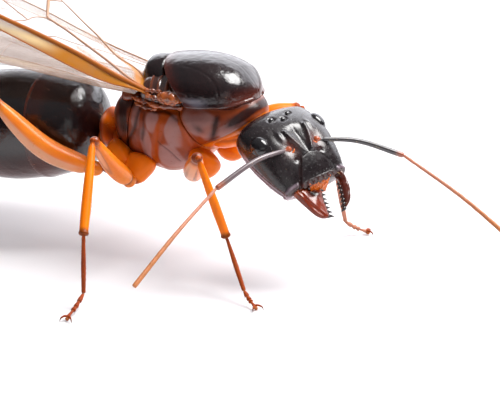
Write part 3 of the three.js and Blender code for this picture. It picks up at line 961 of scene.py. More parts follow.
class Growth:
    """Geometry node trees for what repeats along a path, follows it as a tube, or stands on a surface."""

    KINDS = {str: "String", int: "Int", float: "Float", tuple: "Vector", bpy.types.Object: "Object"}

    @classmethod
    def _tree(cls, name: str, **inputs: type) -> tuple[Nodes, bpy.types.NodeOutputs]:
        """Starts a geometry node tree with named inputs.

        Args:
            name: The tree's name.
            inputs: The type of each input besides the geometry and the material.

        Returns:
            The tool that lays out its nodes, and its inputs as sockets.
        """
        tree = bpy.data.node_groups.new(name, "GeometryNodeTree")
        kinds = {"Geometry": "Geometry", **{label: cls.KINDS[kind] for label, kind in inputs.items()}}
        for label, kind in {**kinds, "Material": "Material"}.items():
            tree.interface.new_socket(label, in_out="INPUT", socket_type="NodeSocket" + kind)
        tree.interface.new_socket("Geometry", in_out="OUTPUT", socket_type="NodeSocketGeometry")
        n = Nodes(tree)
        return n, n.add("NodeGroupInput").outputs

    @staticmethod
    def _end(n: Nodes, geometry: Socket, material: Socket) -> bpy.types.NodeTree:
        """Ends a tree in plain geometry that wears the material.

        Args:
            n: The tool that lays out the tree.
            geometry: What the tree has made.
            material: The finish.

        Returns:
            The tree.
        """
        real = n.out("GeometryNodeRealizeInstances", {"Geometry": geometry})
        done = n.out("GeometryNodeSetMaterial", {"Geometry": real, "Material": material})
        n.add("NodeGroupOutput", {"Geometry": done})
        return n.tree

    @staticmethod
    def _grown(obj: bpy.types.Object, tree: bpy.types.NodeTree, **values: object) -> bpy.types.Object:
        """Runs a tree on an object and keeps the result as a plain mesh.

        Args:
            obj: The object that the tree starts from, which is used up.
            tree: The tree.
            values: A value for each named input.

        Returns:
            The object with its new mesh and no modifier.
        """
        modifier = obj.modifiers.new("growth", "NODES")
        modifier.node_group = tree
        for item in tree.interface.items_tree:
            if item.in_out == "INPUT" and item.name in values:
                modifier[item.identifier] = values[item.name]
        obj.update_tag()
        bpy.context.view_layer.update()
        graph = bpy.context.evaluated_depsgraph_get()
        mesh = bpy.data.meshes.new_from_object(obj.evaluated_get(graph))
        obj.modifiers.remove(modifier)
        old, obj.data = obj.data, mesh
        bpy.data.meshes.remove(old)
        mesh.polygons.foreach_set("use_smooth", np.ones(len(mesh.polygons), bool))
        mesh.materials.clear()
        mesh.materials.append(values["Material"])
        mesh.polygons.foreach_set("material_index", np.zeros(len(mesh.polygons), np.int32))
        return obj

    @staticmethod
    def _trail(name: str, paths: Sequence[Array], radii: Sequence[Array] | None = None) -> bpy.types.Object:
        """An object of bare edges along paths, with a thickness at each point.

        Args:
            name: The object's name.
            paths: Places along each path.
            radii: The thickness at each place.

        Returns:
            The object, linked to the scene.
        """
        mesh = bpy.data.meshes.new(name)
        edges, start = [], 0
        for path in paths:
            edges += [(start + i, start + i + 1) for i in range(len(path) - 1)]
            start += len(path)
        mesh.from_pydata(np.vstack(paths).tolist(), edges, [])
        if radii is not None:
            paint(mesh, "thickness", np.concatenate(radii))
        return linked(name, mesh)

    @staticmethod
    @cache
    def _tube_tree() -> bpy.types.NodeTree:
        """The tree that makes round tubes of paths.

        Returns:
            The tree.
        """
        n, given = Growth._tree("tube_along_path", Sides=int)
        thick = n.out("GeometryNodeInputNamedAttribute", {"Name": "thickness"}, data_type="FLOAT")
        curve = n.out("GeometryNodeMeshToCurve", {"Mesh": given["Geometry"]})
        curve = n.out("GeometryNodeSetCurveRadius", {"Curve": curve, "Radius": thick})
        ring = n.out("GeometryNodeCurvePrimitiveCircle", {"Resolution": given["Sides"], "Radius": 1.0})
        tube = n.add("GeometryNodeCurveToMesh", {"Curve": curve, "Profile Curve": ring, "Fill Caps": True})
        if "Scale" in tube.inputs:
            n.tree.links.new(thick, tube.inputs["Scale"])
        return Growth._end(n, tube.outputs[0], given["Material"])

    @classmethod
    def tubes(
        cls, name: str, paths: Sequence[Array], radii: Sequence[Array], coat: Coat, sides: int = 8
    ) -> bpy.types.Object:
        """Round tubes along paths, as wing veins are.

        Args:
            name: The object's name.
            paths: Places along each tube.
            radii: Thickness of each tube, in step with paths.
            coat: Its finish.
            sides: Faces round a tube.

        Returns:
            The tubes as one mesh, in millimetres.
        """
        return cls._grown(
            cls._trail(name, paths, radii), cls._tube_tree(), Sides=sides, Material=coat.material
        )

    @staticmethod
    @cache
    def _row_tree() -> bpy.types.NodeTree:
        """The tree that stands copies of a piece in a row.

        Returns:
            The tree.
        """
        n, given = Growth._tree(
            "row_along_path", Piece=bpy.types.Object, Count=int, First=float, Last=float, Aim=tuple,
            Stretch=float,
            Jitter=float, Seed=int,
        )
        curve = n.out("GeometryNodeMeshToCurve", {"Mesh": given["Geometry"]})
        points = n.add("GeometryNodeCurveToPoints", {"Curve": curve, "Count": given["Count"]}, mode="COUNT")
        zero = n.add("ShaderNodeVectorMath", {0: given["Aim"]}, operation="LENGTH").outputs["Value"]
        fixed = n.math("GREATER_THAN", zero, 0.001)
        ways = {0: fixed, 4: points.outputs["Tangent"], 5: given["Aim"]}
        way = n.add("ShaderNodeMix", ways, data_type="VECTOR").outputs[1]
        turn = n.out("FunctionNodeAlignEulerToVector", {"Vector": way}, axis="Z")
        last = n.math("MAXIMUM", n.math("SUBTRACT", given["Count"], 1.0), 1.0)
        share = n.math("DIVIDE", n.out("GeometryNodeInputIndex"), last)
        size = n.out(
            "ShaderNodeMapRange", {"Value": share, "To Min": given["First"], "To Max": given["Last"]}
        )
        low = n.math("SUBTRACT", 1.0, given["Jitter"])
        high = n.math("ADD", 1.0, given["Jitter"])
        chance = n.add("FunctionNodeRandomValue", {2: low, 3: high, "Seed": given["Seed"]}, data_type="FLOAT")
        size = n.math("MULTIPLY", size, chance.outputs[1])
        scale = n.out(
            "ShaderNodeCombineXYZ", {0: size, 1: size, 2: n.math("MULTIPLY", size, given["Stretch"])}
        )
        model = n.add("GeometryNodeObjectInfo", {"Object": given["Piece"]}, transform_space="ORIGINAL")
        copies = {
            "Points": points.outputs[0], "Instance": model.outputs["Geometry"], "Rotation": turn,
            "Scale": scale,
        }
        return Growth._end(n, n.out("GeometryNodeInstanceOnPoints", copies), given["Material"])

    @classmethod
    def row(
        cls, name: str, path: Array, piece: bpy.types.Object, count: int, sizes: Spot, coat: Coat,
        aim: Place = (0, 0, 0), stretch: float = 1.0, jitter: float = 0.0, seed: int = 1,
    ) -> bpy.types.Object:
        """Copies of a small piece in a row along a path, as teeth or the joints of a feeler.

        Args:
            name: The object's name.
            path: Places along the row.
            piece: The piece, which points along its own Z and is removed after use.
            count: How many copies.
            sizes: Scale of the first copy and of the last.
            coat: The finish.
            aim: A direction that every copy points in, or zero to follow the path.
            stretch: Further scale along the copy's own Z.
            jitter: Share by which the scale varies at random.
            seed: Seed of that variation.

        Returns:
            The row as one mesh, in millimetres.
        """
        made = cls._grown(
            cls._trail(name, [path]), cls._row_tree(), Piece=piece, Count=count, First=sizes[0],
            Last=sizes[1], Aim=aim,
            Stretch=stretch, Jitter=jitter, Seed=seed, Material=coat.material,
        )
        bpy.data.objects.remove(piece)
        return made

    @staticmethod
    @cache
    def _hair_tree() -> bpy.types.NodeTree:
        """The tree that grows bent, tapering hairs, each with its own small place on the map.

        Returns:
            The tree.
        """
        n, given = Growth._tree(
            "hairs_on_surface", Tone=str, Density=float, Length=float, Radius=float, Lie=tuple, Lean=float,
            Seed=int,
        )
        length = given["Length"]
        where = n.out("GeometryNodeInputNamedAttribute", {"Name": given["Tone"]}, data_type="FLOAT")
        wanted = {
            "Mesh": given["Geometry"], "Density": n.math("MULTIPLY", where, given["Density"]),
            "Seed": given["Seed"],
        }
        spread = n.add("GeometryNodeDistributePointsOnFaces", wanted)
        upright = n.math("SUBTRACT", 1.0, given["Lean"])
        up = n.out("ShaderNodeVectorMath", {0: spread.outputs["Normal"], "Scale": upright}, operation="SCALE")
        flat = n.out("ShaderNodeVectorMath", {0: given["Lie"], "Scale": given["Lean"]}, operation="SCALE")
        stray = {0: (-0.22,) * 3, 1: (0.22,) * 3, "Seed": 9}
        wild = n.out("FunctionNodeRandomValue", stray, data_type="FLOAT_VECTOR")
        aim = n.out("ShaderNodeVectorMath", {0: up, 1: flat}, operation="ADD")
        aim = n.out("ShaderNodeVectorMath", {0: aim, 1: wild}, operation="ADD")
        turn = n.out("FunctionNodeAlignEulerToVector", {"Vector": aim}, axis="Z")
        sizes = {
            "Vertices": 3, "Side Segments": 3, "Radius Bottom": given["Radius"], "Radius Top": 0.0,
            "Depth": length,
        }
        cone = n.out("GeometryNodeMeshCone", sizes)
        spot = n.out("GeometryNodeInputPosition")
        high = n.math("DIVIDE", n.add("ShaderNodeSeparateXYZ", {0: spot}).outputs[2], length)
        bow = n.math("MULTIPLY", n.math("MULTIPLY", high, high), n.math("MULTIPLY", length, 0.22))
        sideways = n.out("ShaderNodeCombineXYZ", {0: bow})
        bent = n.out("GeometryNodeSetPosition", {"Geometry": cone, "Offset": sideways})
        named = {"Geometry": bent, "Name": "strand", "Value": high}
        strand = n.out("GeometryNodeStoreNamedAttribute", named, data_type="FLOAT", domain="POINT")
        size = n.add("FunctionNodeRandomValue", {2: 0.6, 3: 1.25, "Seed": 5}, data_type="FLOAT").outputs[1]
        copies = {"Points": spread.outputs[0], "Instance": strand, "Rotation": turn, "Scale": size}
        real = n.out(
            "GeometryNodeRealizeInstances", {"Geometry": n.out("GeometryNodeInstanceOnPoints", copies)}
        )
        root = n.out("GeometryNodeInputNamedAttribute", {"Name": "UVMap"}, data_type="FLOAT_VECTOR")
        rise = n.out("GeometryNodeInputNamedAttribute", {"Name": "strand"}, data_type="FLOAT")
        rise = n.math("MULTIPLY", rise, 0.003)
        patch = n.out("ShaderNodeCombineXYZ", {0: rise, 1: rise})
        spot = n.out("ShaderNodeVectorMath", {0: root, 1: patch}, operation="ADD")
        named = {"Geometry": real, "Name": "OFBake", "Value": spot}
        store = n.out("GeometryNodeStoreNamedAttribute", named, data_type="FLOAT2", domain="CORNER")
        return Growth._end(n, store, given["Material"])

    @classmethod
    def hairs(
        cls, name: str, ground: bpy.types.Object, density: float, length: float, radius: float, coat: Coat,
        lie: Place, lean: float, seed: int,
    ) -> bpy.types.Object:
        """Single tapering hairs on a surface.

        Args:
            name: The object's name.
            ground: The object that they stand on, in millimetres, whose hair tone says where they grow.
            density: Hairs on a square millimetre where the tone is 1.
            length: Length of a hair.
            radius: Thickness at its root.
            coat: The finish.
            lie: The direction that the hairs lean towards.
            lean: How far they lean, from 0 upright to 1 flat.
            seed: Seed of their places.

        Returns:
            The hairs as one mesh with a map named OFBake, in millimetres.
        """
        made = cls._grown(
            linked(name, ground.data.copy()), cls._hair_tree(), Tone=Tone.HAIR.value, Density=density,
            Length=length,
            Radius=radius, Lie=lie, Lean=lean, Seed=seed, Material=coat.material,
        )
        spent = {"strand", "UVMap", *(tone.value for tone in Tone)}
        for extra in [a.name for a in made.data.attributes if a.name in spent]:
            made.data.attributes.remove(made.data.attributes[extra])
        return made


# ---------------------------------------------------------------- handing over


class Bench:
    def __init__(self, tegula: Spot) -> None:
        """Finds the way from the ant's frame to the row frame.

        Args:
            tegula: X and height of a tegula's middle in the ant's frame, in millimetres.
        """
        right, left = (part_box("tegula_" + side.word) for side in (Side.RIGHT, Side.LEFT))
        x = (left[0].x + left[1].x) / 2 / MM - tegula[0]
        y = (left[0].y + left[1].y + right[0].y + right[1].y) / 4 / MM
        self.shift = Vector((x, y, 0.0))
        self.pieces = 0
        self.triangles = 0

    def place(self, spot: Sequence[float]) -> Vector:
        """A place of the ant's frame in the row frame, in metres."""
        return (Vector(spot) + self.shift) * MM

    def settle(
        self, obj: bpy.types.Object, slot: str, *nodes: str, coat: Coat | None = None
    ) -> bpy.types.Object:
        """Finishes a piece: its mesh goes to the row frame, and it rides on the ant.

        Args:
            obj: The piece, in millimetres in the ant's frame.
            slot: A material slot's name; not used.
            nodes: The solids that it stands for.
            coat: A finish to put on it, when it has none yet.

        Returns:
            The piece.
        """
        if coat is not None:
            obj.data.materials.clear()
            obj.data.materials.append(coat.material)
        obj.data.transform(Matrix.Translation(self.shift * MM) @ Matrix.Scale(MM, 4))
        obj.data.update()
        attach(obj, "root")
        if nodes:
            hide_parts(*nodes)
        faces = sum(len(p.vertices) - 2 for p in obj.data.polygons)
        self.pieces += 1
        self.triangles += faces
        LOG.info("%-26s %7d triangles%s", obj.name, faces, " for " + ", ".join(nodes) if nodes else "")
        return obj


@dataclass
class Assembly:
    """A sub-assembly of the ant, which hands its pieces to the bench."""

    bench: Bench


# ---------------------------------------------------------------- head


@dataclass
class HeadFrame:
    """Where the head is and how it is turned.

    X runs out between the jaws, Y to the head's left and Z out of its forehead.
    """

    place: Place = (3.62, -0.42, 3.85)
    roll: float = 8.9
    pitch: float = 33.7
    yaw: float = -17.5

    @property
    def matrix(self) -> Matrix:
        """From the head's frame to the ant's.

        Returns:
            The matrix.
        """
        yaw = Matrix.Rotation(math.radians(self.yaw), 4, "Z")
        pitch = Matrix.Rotation(math.radians(self.pitch), 4, "Y")
        roll = Matrix.Rotation(math.radians(self.roll), 4, "X")
        # Turned about the ant's own X first in the order that the solids use.
        return Matrix.Translation(self.place) @ yaw @ pitch @ roll

    def carry(self, spot: Sequence[float]) -> Place:
        """A place of the head's frame in the ant's."""
        return tuple(self.matrix @ Vector(spot))


@dataclass
class Head(Assembly):
    """The head capsule with its clypeus, frontal ridges, feeler sockets, simple eyes and compound eyes."""

    frame: HeadFrame = field(default_factory=HeadFrame)
    back: float = -1.4
    front: float = 1.3
    width: Profile = profile(0.98, 1.24, 1.33, 1.34, 1.29, 1.2, 1.07)
    top: Profile = profile(0.38, 0.62, 0.8, 0.87, 0.76, 0.56, 0.32)
    bottom: Profile = profile(0.5, 0.68, 0.7, 0.68, 0.62, 0.54, 0.42)
    square: float = 2.35
    eye: Place = (-0.32, 1.08, 0.37)
    eye_length: float = 0.315
    eye_height: float = 0.28
    eye_depth: float = 0.205
    eye_lean: float = 0.55
    socket: Place = (0.26, 0.45, 0.66)
    ocelli: tuple[Place, ...] = ((-0.71, 0.0, 0.66), (-0.86, 0.31, 0.55), (-0.86, -0.31, 0.55))
    ocellus: float = 0.075
    ridge: tuple[Spot, ...] = ((-0.24, 0.36), (0.02, 0.31), (0.28, 0.22), (0.5, 0.12))
    clypeus_back: Spot = (0.56, 0.3)
    clypeus_front: Spot = (1.3, 0.7)

    def loft(self) -> Loft:
        """The capsule's plain form, in the head's frame.

        Returns:
            The loft.
        """
        return Loft(
            ((self.back, 0, -0.05), (self.front, 0, -0.1)), self.width, self.top, self.bottom,
            square=self.square,
            start=0.14, end=0.03, stations=250, columns=300,
        )

    def roof(self, x: Array, y: Array) -> Array:
        """The height of the forehead over a spot of the head's frame.

        Args:
            x: Places along the head.
            y: Places across it.

        Returns:
            The heights there.
        """
        t = np.clip((x - self.back) / (self.front - self.back), 0, 1)
        open_ = rounding(t, 0.14) * rounding(1 - t, 0.03)
        across = np.clip(np.abs(y) / np.maximum(self.width.at(t) * open_, 1e-6), 0, 1)
        rise = self.top.at(t) * open_ * (1 - across**self.square) ** (1 / self.square)
        return -0.05 - 0.05 * t + rise

    def capsule(self) -> Skin:
        """The capsule with its relief and tones, in the head's frame.

        Returns:
            The dressed skin.
        """
        skin = self.loft().skin()
        p = skin.points
        above = fade(0.0, 0.25, p[..., 2])
        ridge = Line(self.ridge, 0.055, view=View.ABOVE).weight(p) * above
        x, y = p[..., 0], np.abs(p[..., 1])
        # A ridge stands over the hollow that holds the feeler's socket.
        hollow = near(p, self.socket, (0.3, 0.2, 0.5))
        behind = Patch((-0.02, 0.62), (0.26, 0.2), 0.3, View.ABOVE).weight(p) * above
        height = 0.075 * ridge - 0.06 * hollow - 0.015 * behind
        brow = np.interp(x, *zip(*self.ridge))
        height = (
            height - 0.36 * np.clip(brow - y, 0, None) * fade(-0.45, -0.05, x) * fade(0.6, 0.45, x) * above
        )
        height = height + 0.042 * Patch((-0.2, 0.56), (0.17, 0.07), 0.1, View.ABOVE).weight(p) * above
        furrow = Line(((-0.35, 0.0), (0.35, 0.0)), 0.025, view=View.ABOVE).weight(p) * above
        height = height - 0.012 * furrow
        # The rims of the compound eyes and of the simple eyes.
        reach = np.linalg.norm(
            (np.stack([x, y, p[..., 2]], -1) - np.asarray(self.eye)) / np.array([0.41, 0.41, 0.37]), axis=-1
        )
        height = height - 0.005 * bump(reach, 0.84, 0.1)
        for spot in self.ocelli[:2]:
            away = np.hypot(x - spot[0], y - abs(spot[1])) / self.ocellus
            height = height - 0.03 * bump(away, 1.15, 0.45) * above
        # Cheeks, the pits beside the clypeus, and the knobs that the jaws turn on.
        height = height + 0.02 * near(p, (0.75, 0.85, 0.2), (0.4, 0.3, 0.35))
        height = height - 0.05 * near(p, (0.62, 0.44, 0.45), (0.07, 0.07, 0.3))
        height = height + 0.06 * near(p, (1.27, 0.98, -0.1), (0.12, 0.1, 0.12))
        grooves = 0 * x
        for level in (-0.12, -0.24, -0.36, -0.48):
            grooves = grooves + Line(
                ((-0.7, level - 0.08), (0.2, level), (1.2, level + 0.06)), 0.028
            ).weight(p) * (y > 0.5)
        grooves = grooves * fade(-0.5, -0.15, x)
        suture = Line(((0.56, 0.31), (0.9, 0.51), (1.34, 0.73)), 0.022, view=View.ABOVE).weight(p) * above
        # The cheek's front edge rolls out over the root of the jaw.
        roll = bump(x, 1.17, 0.045) * fade(0.68, 0.76, y)
        crumple = 0.5 + 0.5 * np.sin(y * 31 + p[..., 2] * 23)
        skin.push(height - 0.05 * suture - 0.028 * grooves + 0.035 * roll * crumple)
        blush = near(p, self.socket, (0.22, 0.2, 0.6)) * 0.8 * (p[..., 2] > 0) + 0.12 * suture
        blush = blush + fade(1.15, 1.3, x) * 0.35 + grooves * 0.8
        skin.mark(Tone.SEAM, blush)
        # Painted reflection: the pale floor's reflection is painted onto the lower cheek between the grooves,
        # and onto the rolled front edge.
        cheek_reflection = fade(-0.02, -0.1, p[..., 2]) * fade(0.55, 0.8, y) * fade(-0.8, -0.3, x)
        skin.mark(Tone.PALE, np.clip(cheek_reflection * (1 - grooves) + roll * 0.5, 0, 1))
        hair = fade(0.1, 0.3, p[..., 2]) * 0.12 + near(p, (1.25, 0.75, 0.0), (0.2, 0.3, 0.3))
        return skin.mark(Tone.HAIR, hair)

    def clypeus(self) -> Shell:
        """The shield over the jaws: a raised plate with a crenulate front edge, in the head's frame.

        Returns:
            The plate.
        """
        v, u = np.meshgrid(np.linspace(0, 1, 72), np.linspace(-1, 1, 121), indexing="ij")
        half = self.clypeus_back[1] + (self.clypeus_front[1] - self.clypeus_back[1]) * v**0.9
        front = self.clypeus_front[0] + 0.055 * (1 - u**2)
        crenels = (0.009 * np.cos(u * math.pi * 11) + 0.008 * np.sin(u * 17 + 2)) * (np.abs(u) < 0.85)
        back = self.clypeus_back[0] + 0.05 * u**2 - 0.03 * bump(u, 0, 0.35)
        x = back + (front + crenels - back) * v
        y = u * half
        rim = np.minimum(np.minimum(v / 0.07, (1 - np.abs(u)) / 0.09), 1)
        swell = np.sin(np.clip(rim, 0, 1) * math.pi / 2)
        lift = 0.08 * swell - 0.035 + 0.03 * bump(u, 0, 0.5) * np.sin(v * math.pi) ** 0.5
        inside = np.clip(x, self.back, self.front - 0.09)
        z = self.roof(inside, y) + lift - 0.5 * np.maximum(x - self.front + 0.09, 0) ** 1.2
        drop = np.clip(v - 0.86, 0, None) * (0.5 + 0.35 * np.sin(u * 23 + 1))
        upper = np.stack([x, y, z - drop], -1)
        lower = upper - np.stack([0 * x, 0 * x, 0.02 + 0.05 * swell], -1)
        flush = fade(0.8, 1.0, v) * 0.45 + 0.25 * (1 - rim)
        hair = fade(0.93, 0.99, v) + 0.03
        return pillow(upper, lower, {Tone.SEAM: np.clip(flush, 0, 1), Tone.HAIR: hair})

    def bead(self, place: Place, up: Place, radius: float, height: float) -> Shell:
        """A small polished dome, such as a simple eye.

        Args:
            place: Its middle.
            up: The way that it faces.
            radius: Half its width.
            height: How far it stands out.

        Returns:
            The dome.
        """
        x, y, z = place
        shape = Loft(
            ((x - radius, y, z), (x + radius, y, z)), profile(radius, radius), profile(height, height),
            start=0.5, end=0.5,
            up=up, stations=22, columns=26,
        )
        return shape.skin().shell()

    def compound_eye(self, side: Side) -> Shell:
        """A compound eye, an oval cap that leans up towards the forehead, in the head's frame.

        Args:
            side: The head's side.

        Returns:
            The eye.
        """
        x, y, z = self.eye
        outward = (0.0, side.value * math.cos(self.eye_lean), math.sin(self.eye_lean))
        y *= side.value
        shape = Loft(
            ((x - self.eye_length, y, z), (x + self.eye_length, y, z)),
            profile(self.eye_height, self.eye_height),
            profile(self.eye_depth, self.eye_depth), start=0.5, end=0.5, up=outward, stations=64, columns=72,
        )
        return shape.skin().shell()

    def torulus(self, side: Side) -> Shell:
        """The ring that a feeler's socket ball sits in, in the head's frame.

        Args:
            side: The head's side.

        Returns:
            The ring.
        """
        x, y, z = self.socket
        turn = np.linspace(0, 2 * math.pi, 40, endpoint=False)
        tube = np.linspace(0, 2 * math.pi, 14, endpoint=False)
        a, b = np.meshgrid(turn, tube, indexing="ij")
        ring = 0.108 + 0.03 * np.cos(b)
        lean = 0.35 * side.value
        local = np.stack([ring * np.cos(a), ring * np.sin(a), 0.032 * np.sin(b)], -1)
        c, s = math.cos(lean), math.sin(lean)
        tip = np.stack(
            [local[..., 0], local[..., 1] * c + local[..., 2] * s, local[..., 2] * c - local[..., 1] * s], -1
        )
        points = tip + np.array([x, side.value * y, z - 0.075])
        i, j = np.meshgrid(np.arange(40), np.arange(14), indexing="ij")
        # The four corners of each face, a step round the ring and a step round its tube.
        steps = ((0, 0), (1, 0), (1, 1), (0, 1))
        quads = np.stack([(i + a) % 40 * 14 + (j + b) % 14 for a, b in steps], -1).reshape(-1, 4)
        uv = np.stack([part for a, b in steps for part in ((i + a) / 40, (j + b) / 14)], -1)
        seam = {Tone.SEAM: np.full(quads.shape[0], 0.45)}
        return Shell(points.reshape(-1, 3), [quads], [uv.reshape(-1, 4, 2)], seam)

    def build(self) -> None:
        """Makes and dresses every piece of the head."""
        m = self.frame.matrix
        capsule = self.capsule().shell().object("head_capsule")
        plate = self.clypeus().object("clypeus")
        for obj in (capsule, plate):
            obj.data.transform(m)
        lie = tuple(m.to_3x3() @ Vector((1, 0, 0.2)))
        hairs = Growth.hairs("head_hairs", capsule, 9.0, 0.17, 0.0042, Coat.HAIR, lie, 0.35, 4)
        fringe = Growth.hairs("clypeus_fringe", plate, 30.0, 0.08, 0.0038, Coat.HAIR, lie, 0.55, 7)
        self.bench.settle(capsule, "black_shell", "head", coat=Coat.HEAD)
        self.bench.settle(plate, "black_shell", coat=Coat.HEAD)
        self.bench.settle(hairs, "black_shell")
        self.bench.settle(fringe, "black_shell")
        beads = []
        for x, y, _ in self.ocelli:
            z = float(self.roof(np.array(x), np.array(y)))
            beads.append(self.bead((x, y, z - 0.012), (-0.15, 0.35 * y, 1.0), self.ocellus, 0.05))
        simple = Shell.joined(beads).object("ocelli")
        simple.data.transform(m)
        self.bench.settle(simple, "eye", coat=Coat.EYE)
        rings = Shell.joined([self.torulus(side) for side in Side]).object("feeler_sockets")
        rings.data.transform(m)
        self.bench.settle(rings, "red_brown_shell", coat=Coat.LIP)
        for side in Side:
            eye = self.compound_eye(side).object(side.word + "_compound_eye")
            eye.data.transform(m)
            self.bench.settle(eye, "eye", "eye_" + side.word, coat=Coat.EYE)


@dataclass
class Jaws(Assembly):
    """The two open jaws, with their black teeth, and the mouthparts between them.

    A jaw's plan holds its base, two pulls of the outer edge, the tip, the first tooth, the notch and
    the inner root.
    """

    frame: HeadFrame = field(default_factory=HeadFrame)
    plans: dict[Side, tuple[Spot, ...]] = field(
        default_factory=lambda: {
            Side.RIGHT: (
                (1.2, 0.87), (1.72, 0.7), (2.34, 0.66), (2.27, 0.17), (1.46, -0.06), (1.4, 0.36), (1.1, 0.42)
            ),
            Side.LEFT: (
                (1.14, 0.93), (1.6, 1.02), (2.18, 0.84), (2.25, 0.33), (1.46, 0.64), (1.3, 0.74), (1.12, 0.62)
            ),
        }
    )
    droop: float = 0.16
    level: float = -0.06
    teeth: int = 7

    def edges(self, side: Side, s: Array) -> tuple[Array, Array]:
        """The outer and inner edge of a jaw in plan, at shares of its length.

        Args:
            side: The jaw's side.
            s: Shares of its length.

        Returns:
            The outer and the inner places.
        """
        b, c, d, e, f, k, r = (np.asarray(q) for q in self.plans[side])
        t = s[:, None]
        outer = b * (1 - t) ** 3 + 3 * c * t * (1 - t) ** 2 + 3 * d * t**2 * (1 - t) + e * t**3
        w = np.clip(t / 0.38, 0, 1)
        near_part = r * (1 - w) ** 2 + 2 * k * w * (1 - w) + f * w**2
        w = np.clip((t - 0.38) / 0.62, 0, 1)
        far_part = f + (e - f) * w + np.array([0.0, 0.035]) * np.sin(w * math.pi)
        return outer, np.where(t < 0.38, near_part, far_part)

    def sag(self, points: Array) -> Array:
        """Bends a jaw down towards its tip.

        Args:
            points: Places on a level jaw.

        Returns:
            The places on the bent one.
        """
        x = points[..., 0] - 1.16
        c, s = math.cos(self.droop), math.sin(self.droop)
        out = points.copy()
        out[..., 0] = 1.16 + x * c + points[..., 2] * s
        out[..., 2] = self.level + points[..., 2] * c - x * s - 0.05 * x**2
        return out

    def blade(self, side: Side) -> Skin:
        """One jaw without its teeth, in the head's frame.

        Args:
            side: The jaw's side.

        Returns:
            The dressed skin.
        """
        stations, columns = 150, 96
        s = (1 - np.cos(np.linspace(0, math.pi, stations + 1))) / 2
        outer, inner = self.edges(side, s)
        middle = (outer + inner) / 2
        half = (outer - inner) / 2
        turn = np.linspace(0, 2 * math.pi, columns, endpoint=False)
        across = np.sign(np.cos(turn)) * np.abs(np.cos(turn)) ** 0.85
        open_ = rounding(s, 0.05) * rounding(1 - s, 0.06)
        thick = profile(0.2, 0.22, 0.19, 0.16, 0.13, 0.1, 0.06).at(s) * open_
        thin = 0.66 + 0.34 * np.cos(turn)
        plan = middle[:, None] + half[:, None] * (across * open_[:, None])[..., None]
        high = thick[:, None] * np.sin(turn) * thin
        points = np.concatenate([plan, high[..., None]], -1)
        spine = np.concatenate([middle, np.zeros((len(s), 1))], -1)
        skin = Skin(points, spine, s)
        p = skin.points
        # A long groove on the upper face, a dimple near the root and a faint ripple on top.
        groove = Line(
            ((1.3, 0.72), (1.75, 0.62), (2.15, 0.4)), 0.05, view=View.ABOVE
        ).weight(p) * (p[..., 2] > 0)
        inward = fade(0.2, 1.0, -np.cos(turn))[None] * fade(0.36, 0.5, s)[:, None]
        dimple = near(p, (1.45, 0.38 if side is Side.RIGHT else 0.76, 0.12), (0.12, 0.09, 0.2))
        skin.push(
            -0.03 * groove - 0.04 * dimple
            + 0.006 * np.sin(p[..., 0] * 13 + p[..., 1] * 5) * np.sin(p[..., 1] * 17 - 1) * (p[..., 2] > 0)
        )
        # Painted shade in the notch at the right jaw's root.
        skin.mark(
            Tone.GLOOM,
            1.3 * Patch((1.5, 0.32), (0.12, 0.2), 0.3, View.ABOVE).weight(p) * (side is Side.RIGHT),
        )
        skin.mark(Tone.GLOOM, inward**2 * 0.95 + fade(0.88, 1.0, s)[:, None] * 0.8)
        skin.mark(Tone.SEAM, (1 - fade(0.0, 0.2, s)) * 0.5)
        # Painted shade: the left jaw is painted darker than the right.
        skin.mark(Tone.GLOOM, 0.62 if side is Side.LEFT else 0.0)
        skin.mark(Tone.HAIR, 0.25 + 0.5 * fade(0.3, 0.9, s))
        skin.points, skin.spine = self.sag(skin.points), self.sag(skin.spine)
        skin.points[..., 1] *= side.value
        skin.spine[..., 1] *= side.value
        return skin

    def tooth(self) -> bpy.types.Object:
        """One tooth, a little curved cone that points along its own Z.

        Returns:
            The tooth, to be copied.
        """
        shape = Loft(
            ((0, 0, -0.6), (0.02, 0, 0.2), (0.16, 0, 1.0)), profile(0.42, 0.36, 0.2, 0.05), start=0.1,
            end=0.1, up=(0, 1, 0), stations=12, columns=9,
        )
        return shape.skin().shell().object("tooth")

    def build(self) -> None:
        """Makes and dresses the jaws and the mouthparts."""
        m = self.frame.matrix
        for side in Side:
            blade = self.blade(side).shell().object("jaw_" + side.word)
            blade.data.transform(m)
            lie = tuple(m.to_3x3() @ Vector((0.9, -0.4 * side.value, 0)))
            fuzz = Growth.hairs("jaw_hairs_" + side.word, blade, 14.0, 0.1, 0.0038, Coat.HAIR, lie, 0.6, 11)
            _, inner = self.edges(side, np.linspace(0.4, 0.985, 30))
            gum = self.sag(np.concatenate([inner + np.array([0.0, 0.012]), np.zeros((30, 1))], -1))
            gum[:, 1] *= side.value
            gum = np.array([m @ Vector(q) for q in gum])
            aim = m.to_3x3() @ Vector((0.34, -0.94 * side.value, -0.05))
            teeth = Growth.row(
                "teeth_" + side.word, gum, self.tooth(), self.teeth, (0.1, 0.15), Coat.JAW, tuple(aim),
                1.0, 0.12, 5,
            )
            paint(teeth.data, Tone.GLOOM.value, np.full(len(teeth.data.vertices), 0.94))
            self.bench.settle(blade, "red_brown_shell", "mandible_" + side.word, coat=Coat.JAW)
            self.bench.settle(teeth, "red_brown_shell")
            self.bench.settle(fuzz, "red_brown_shell")
        self.mouth()

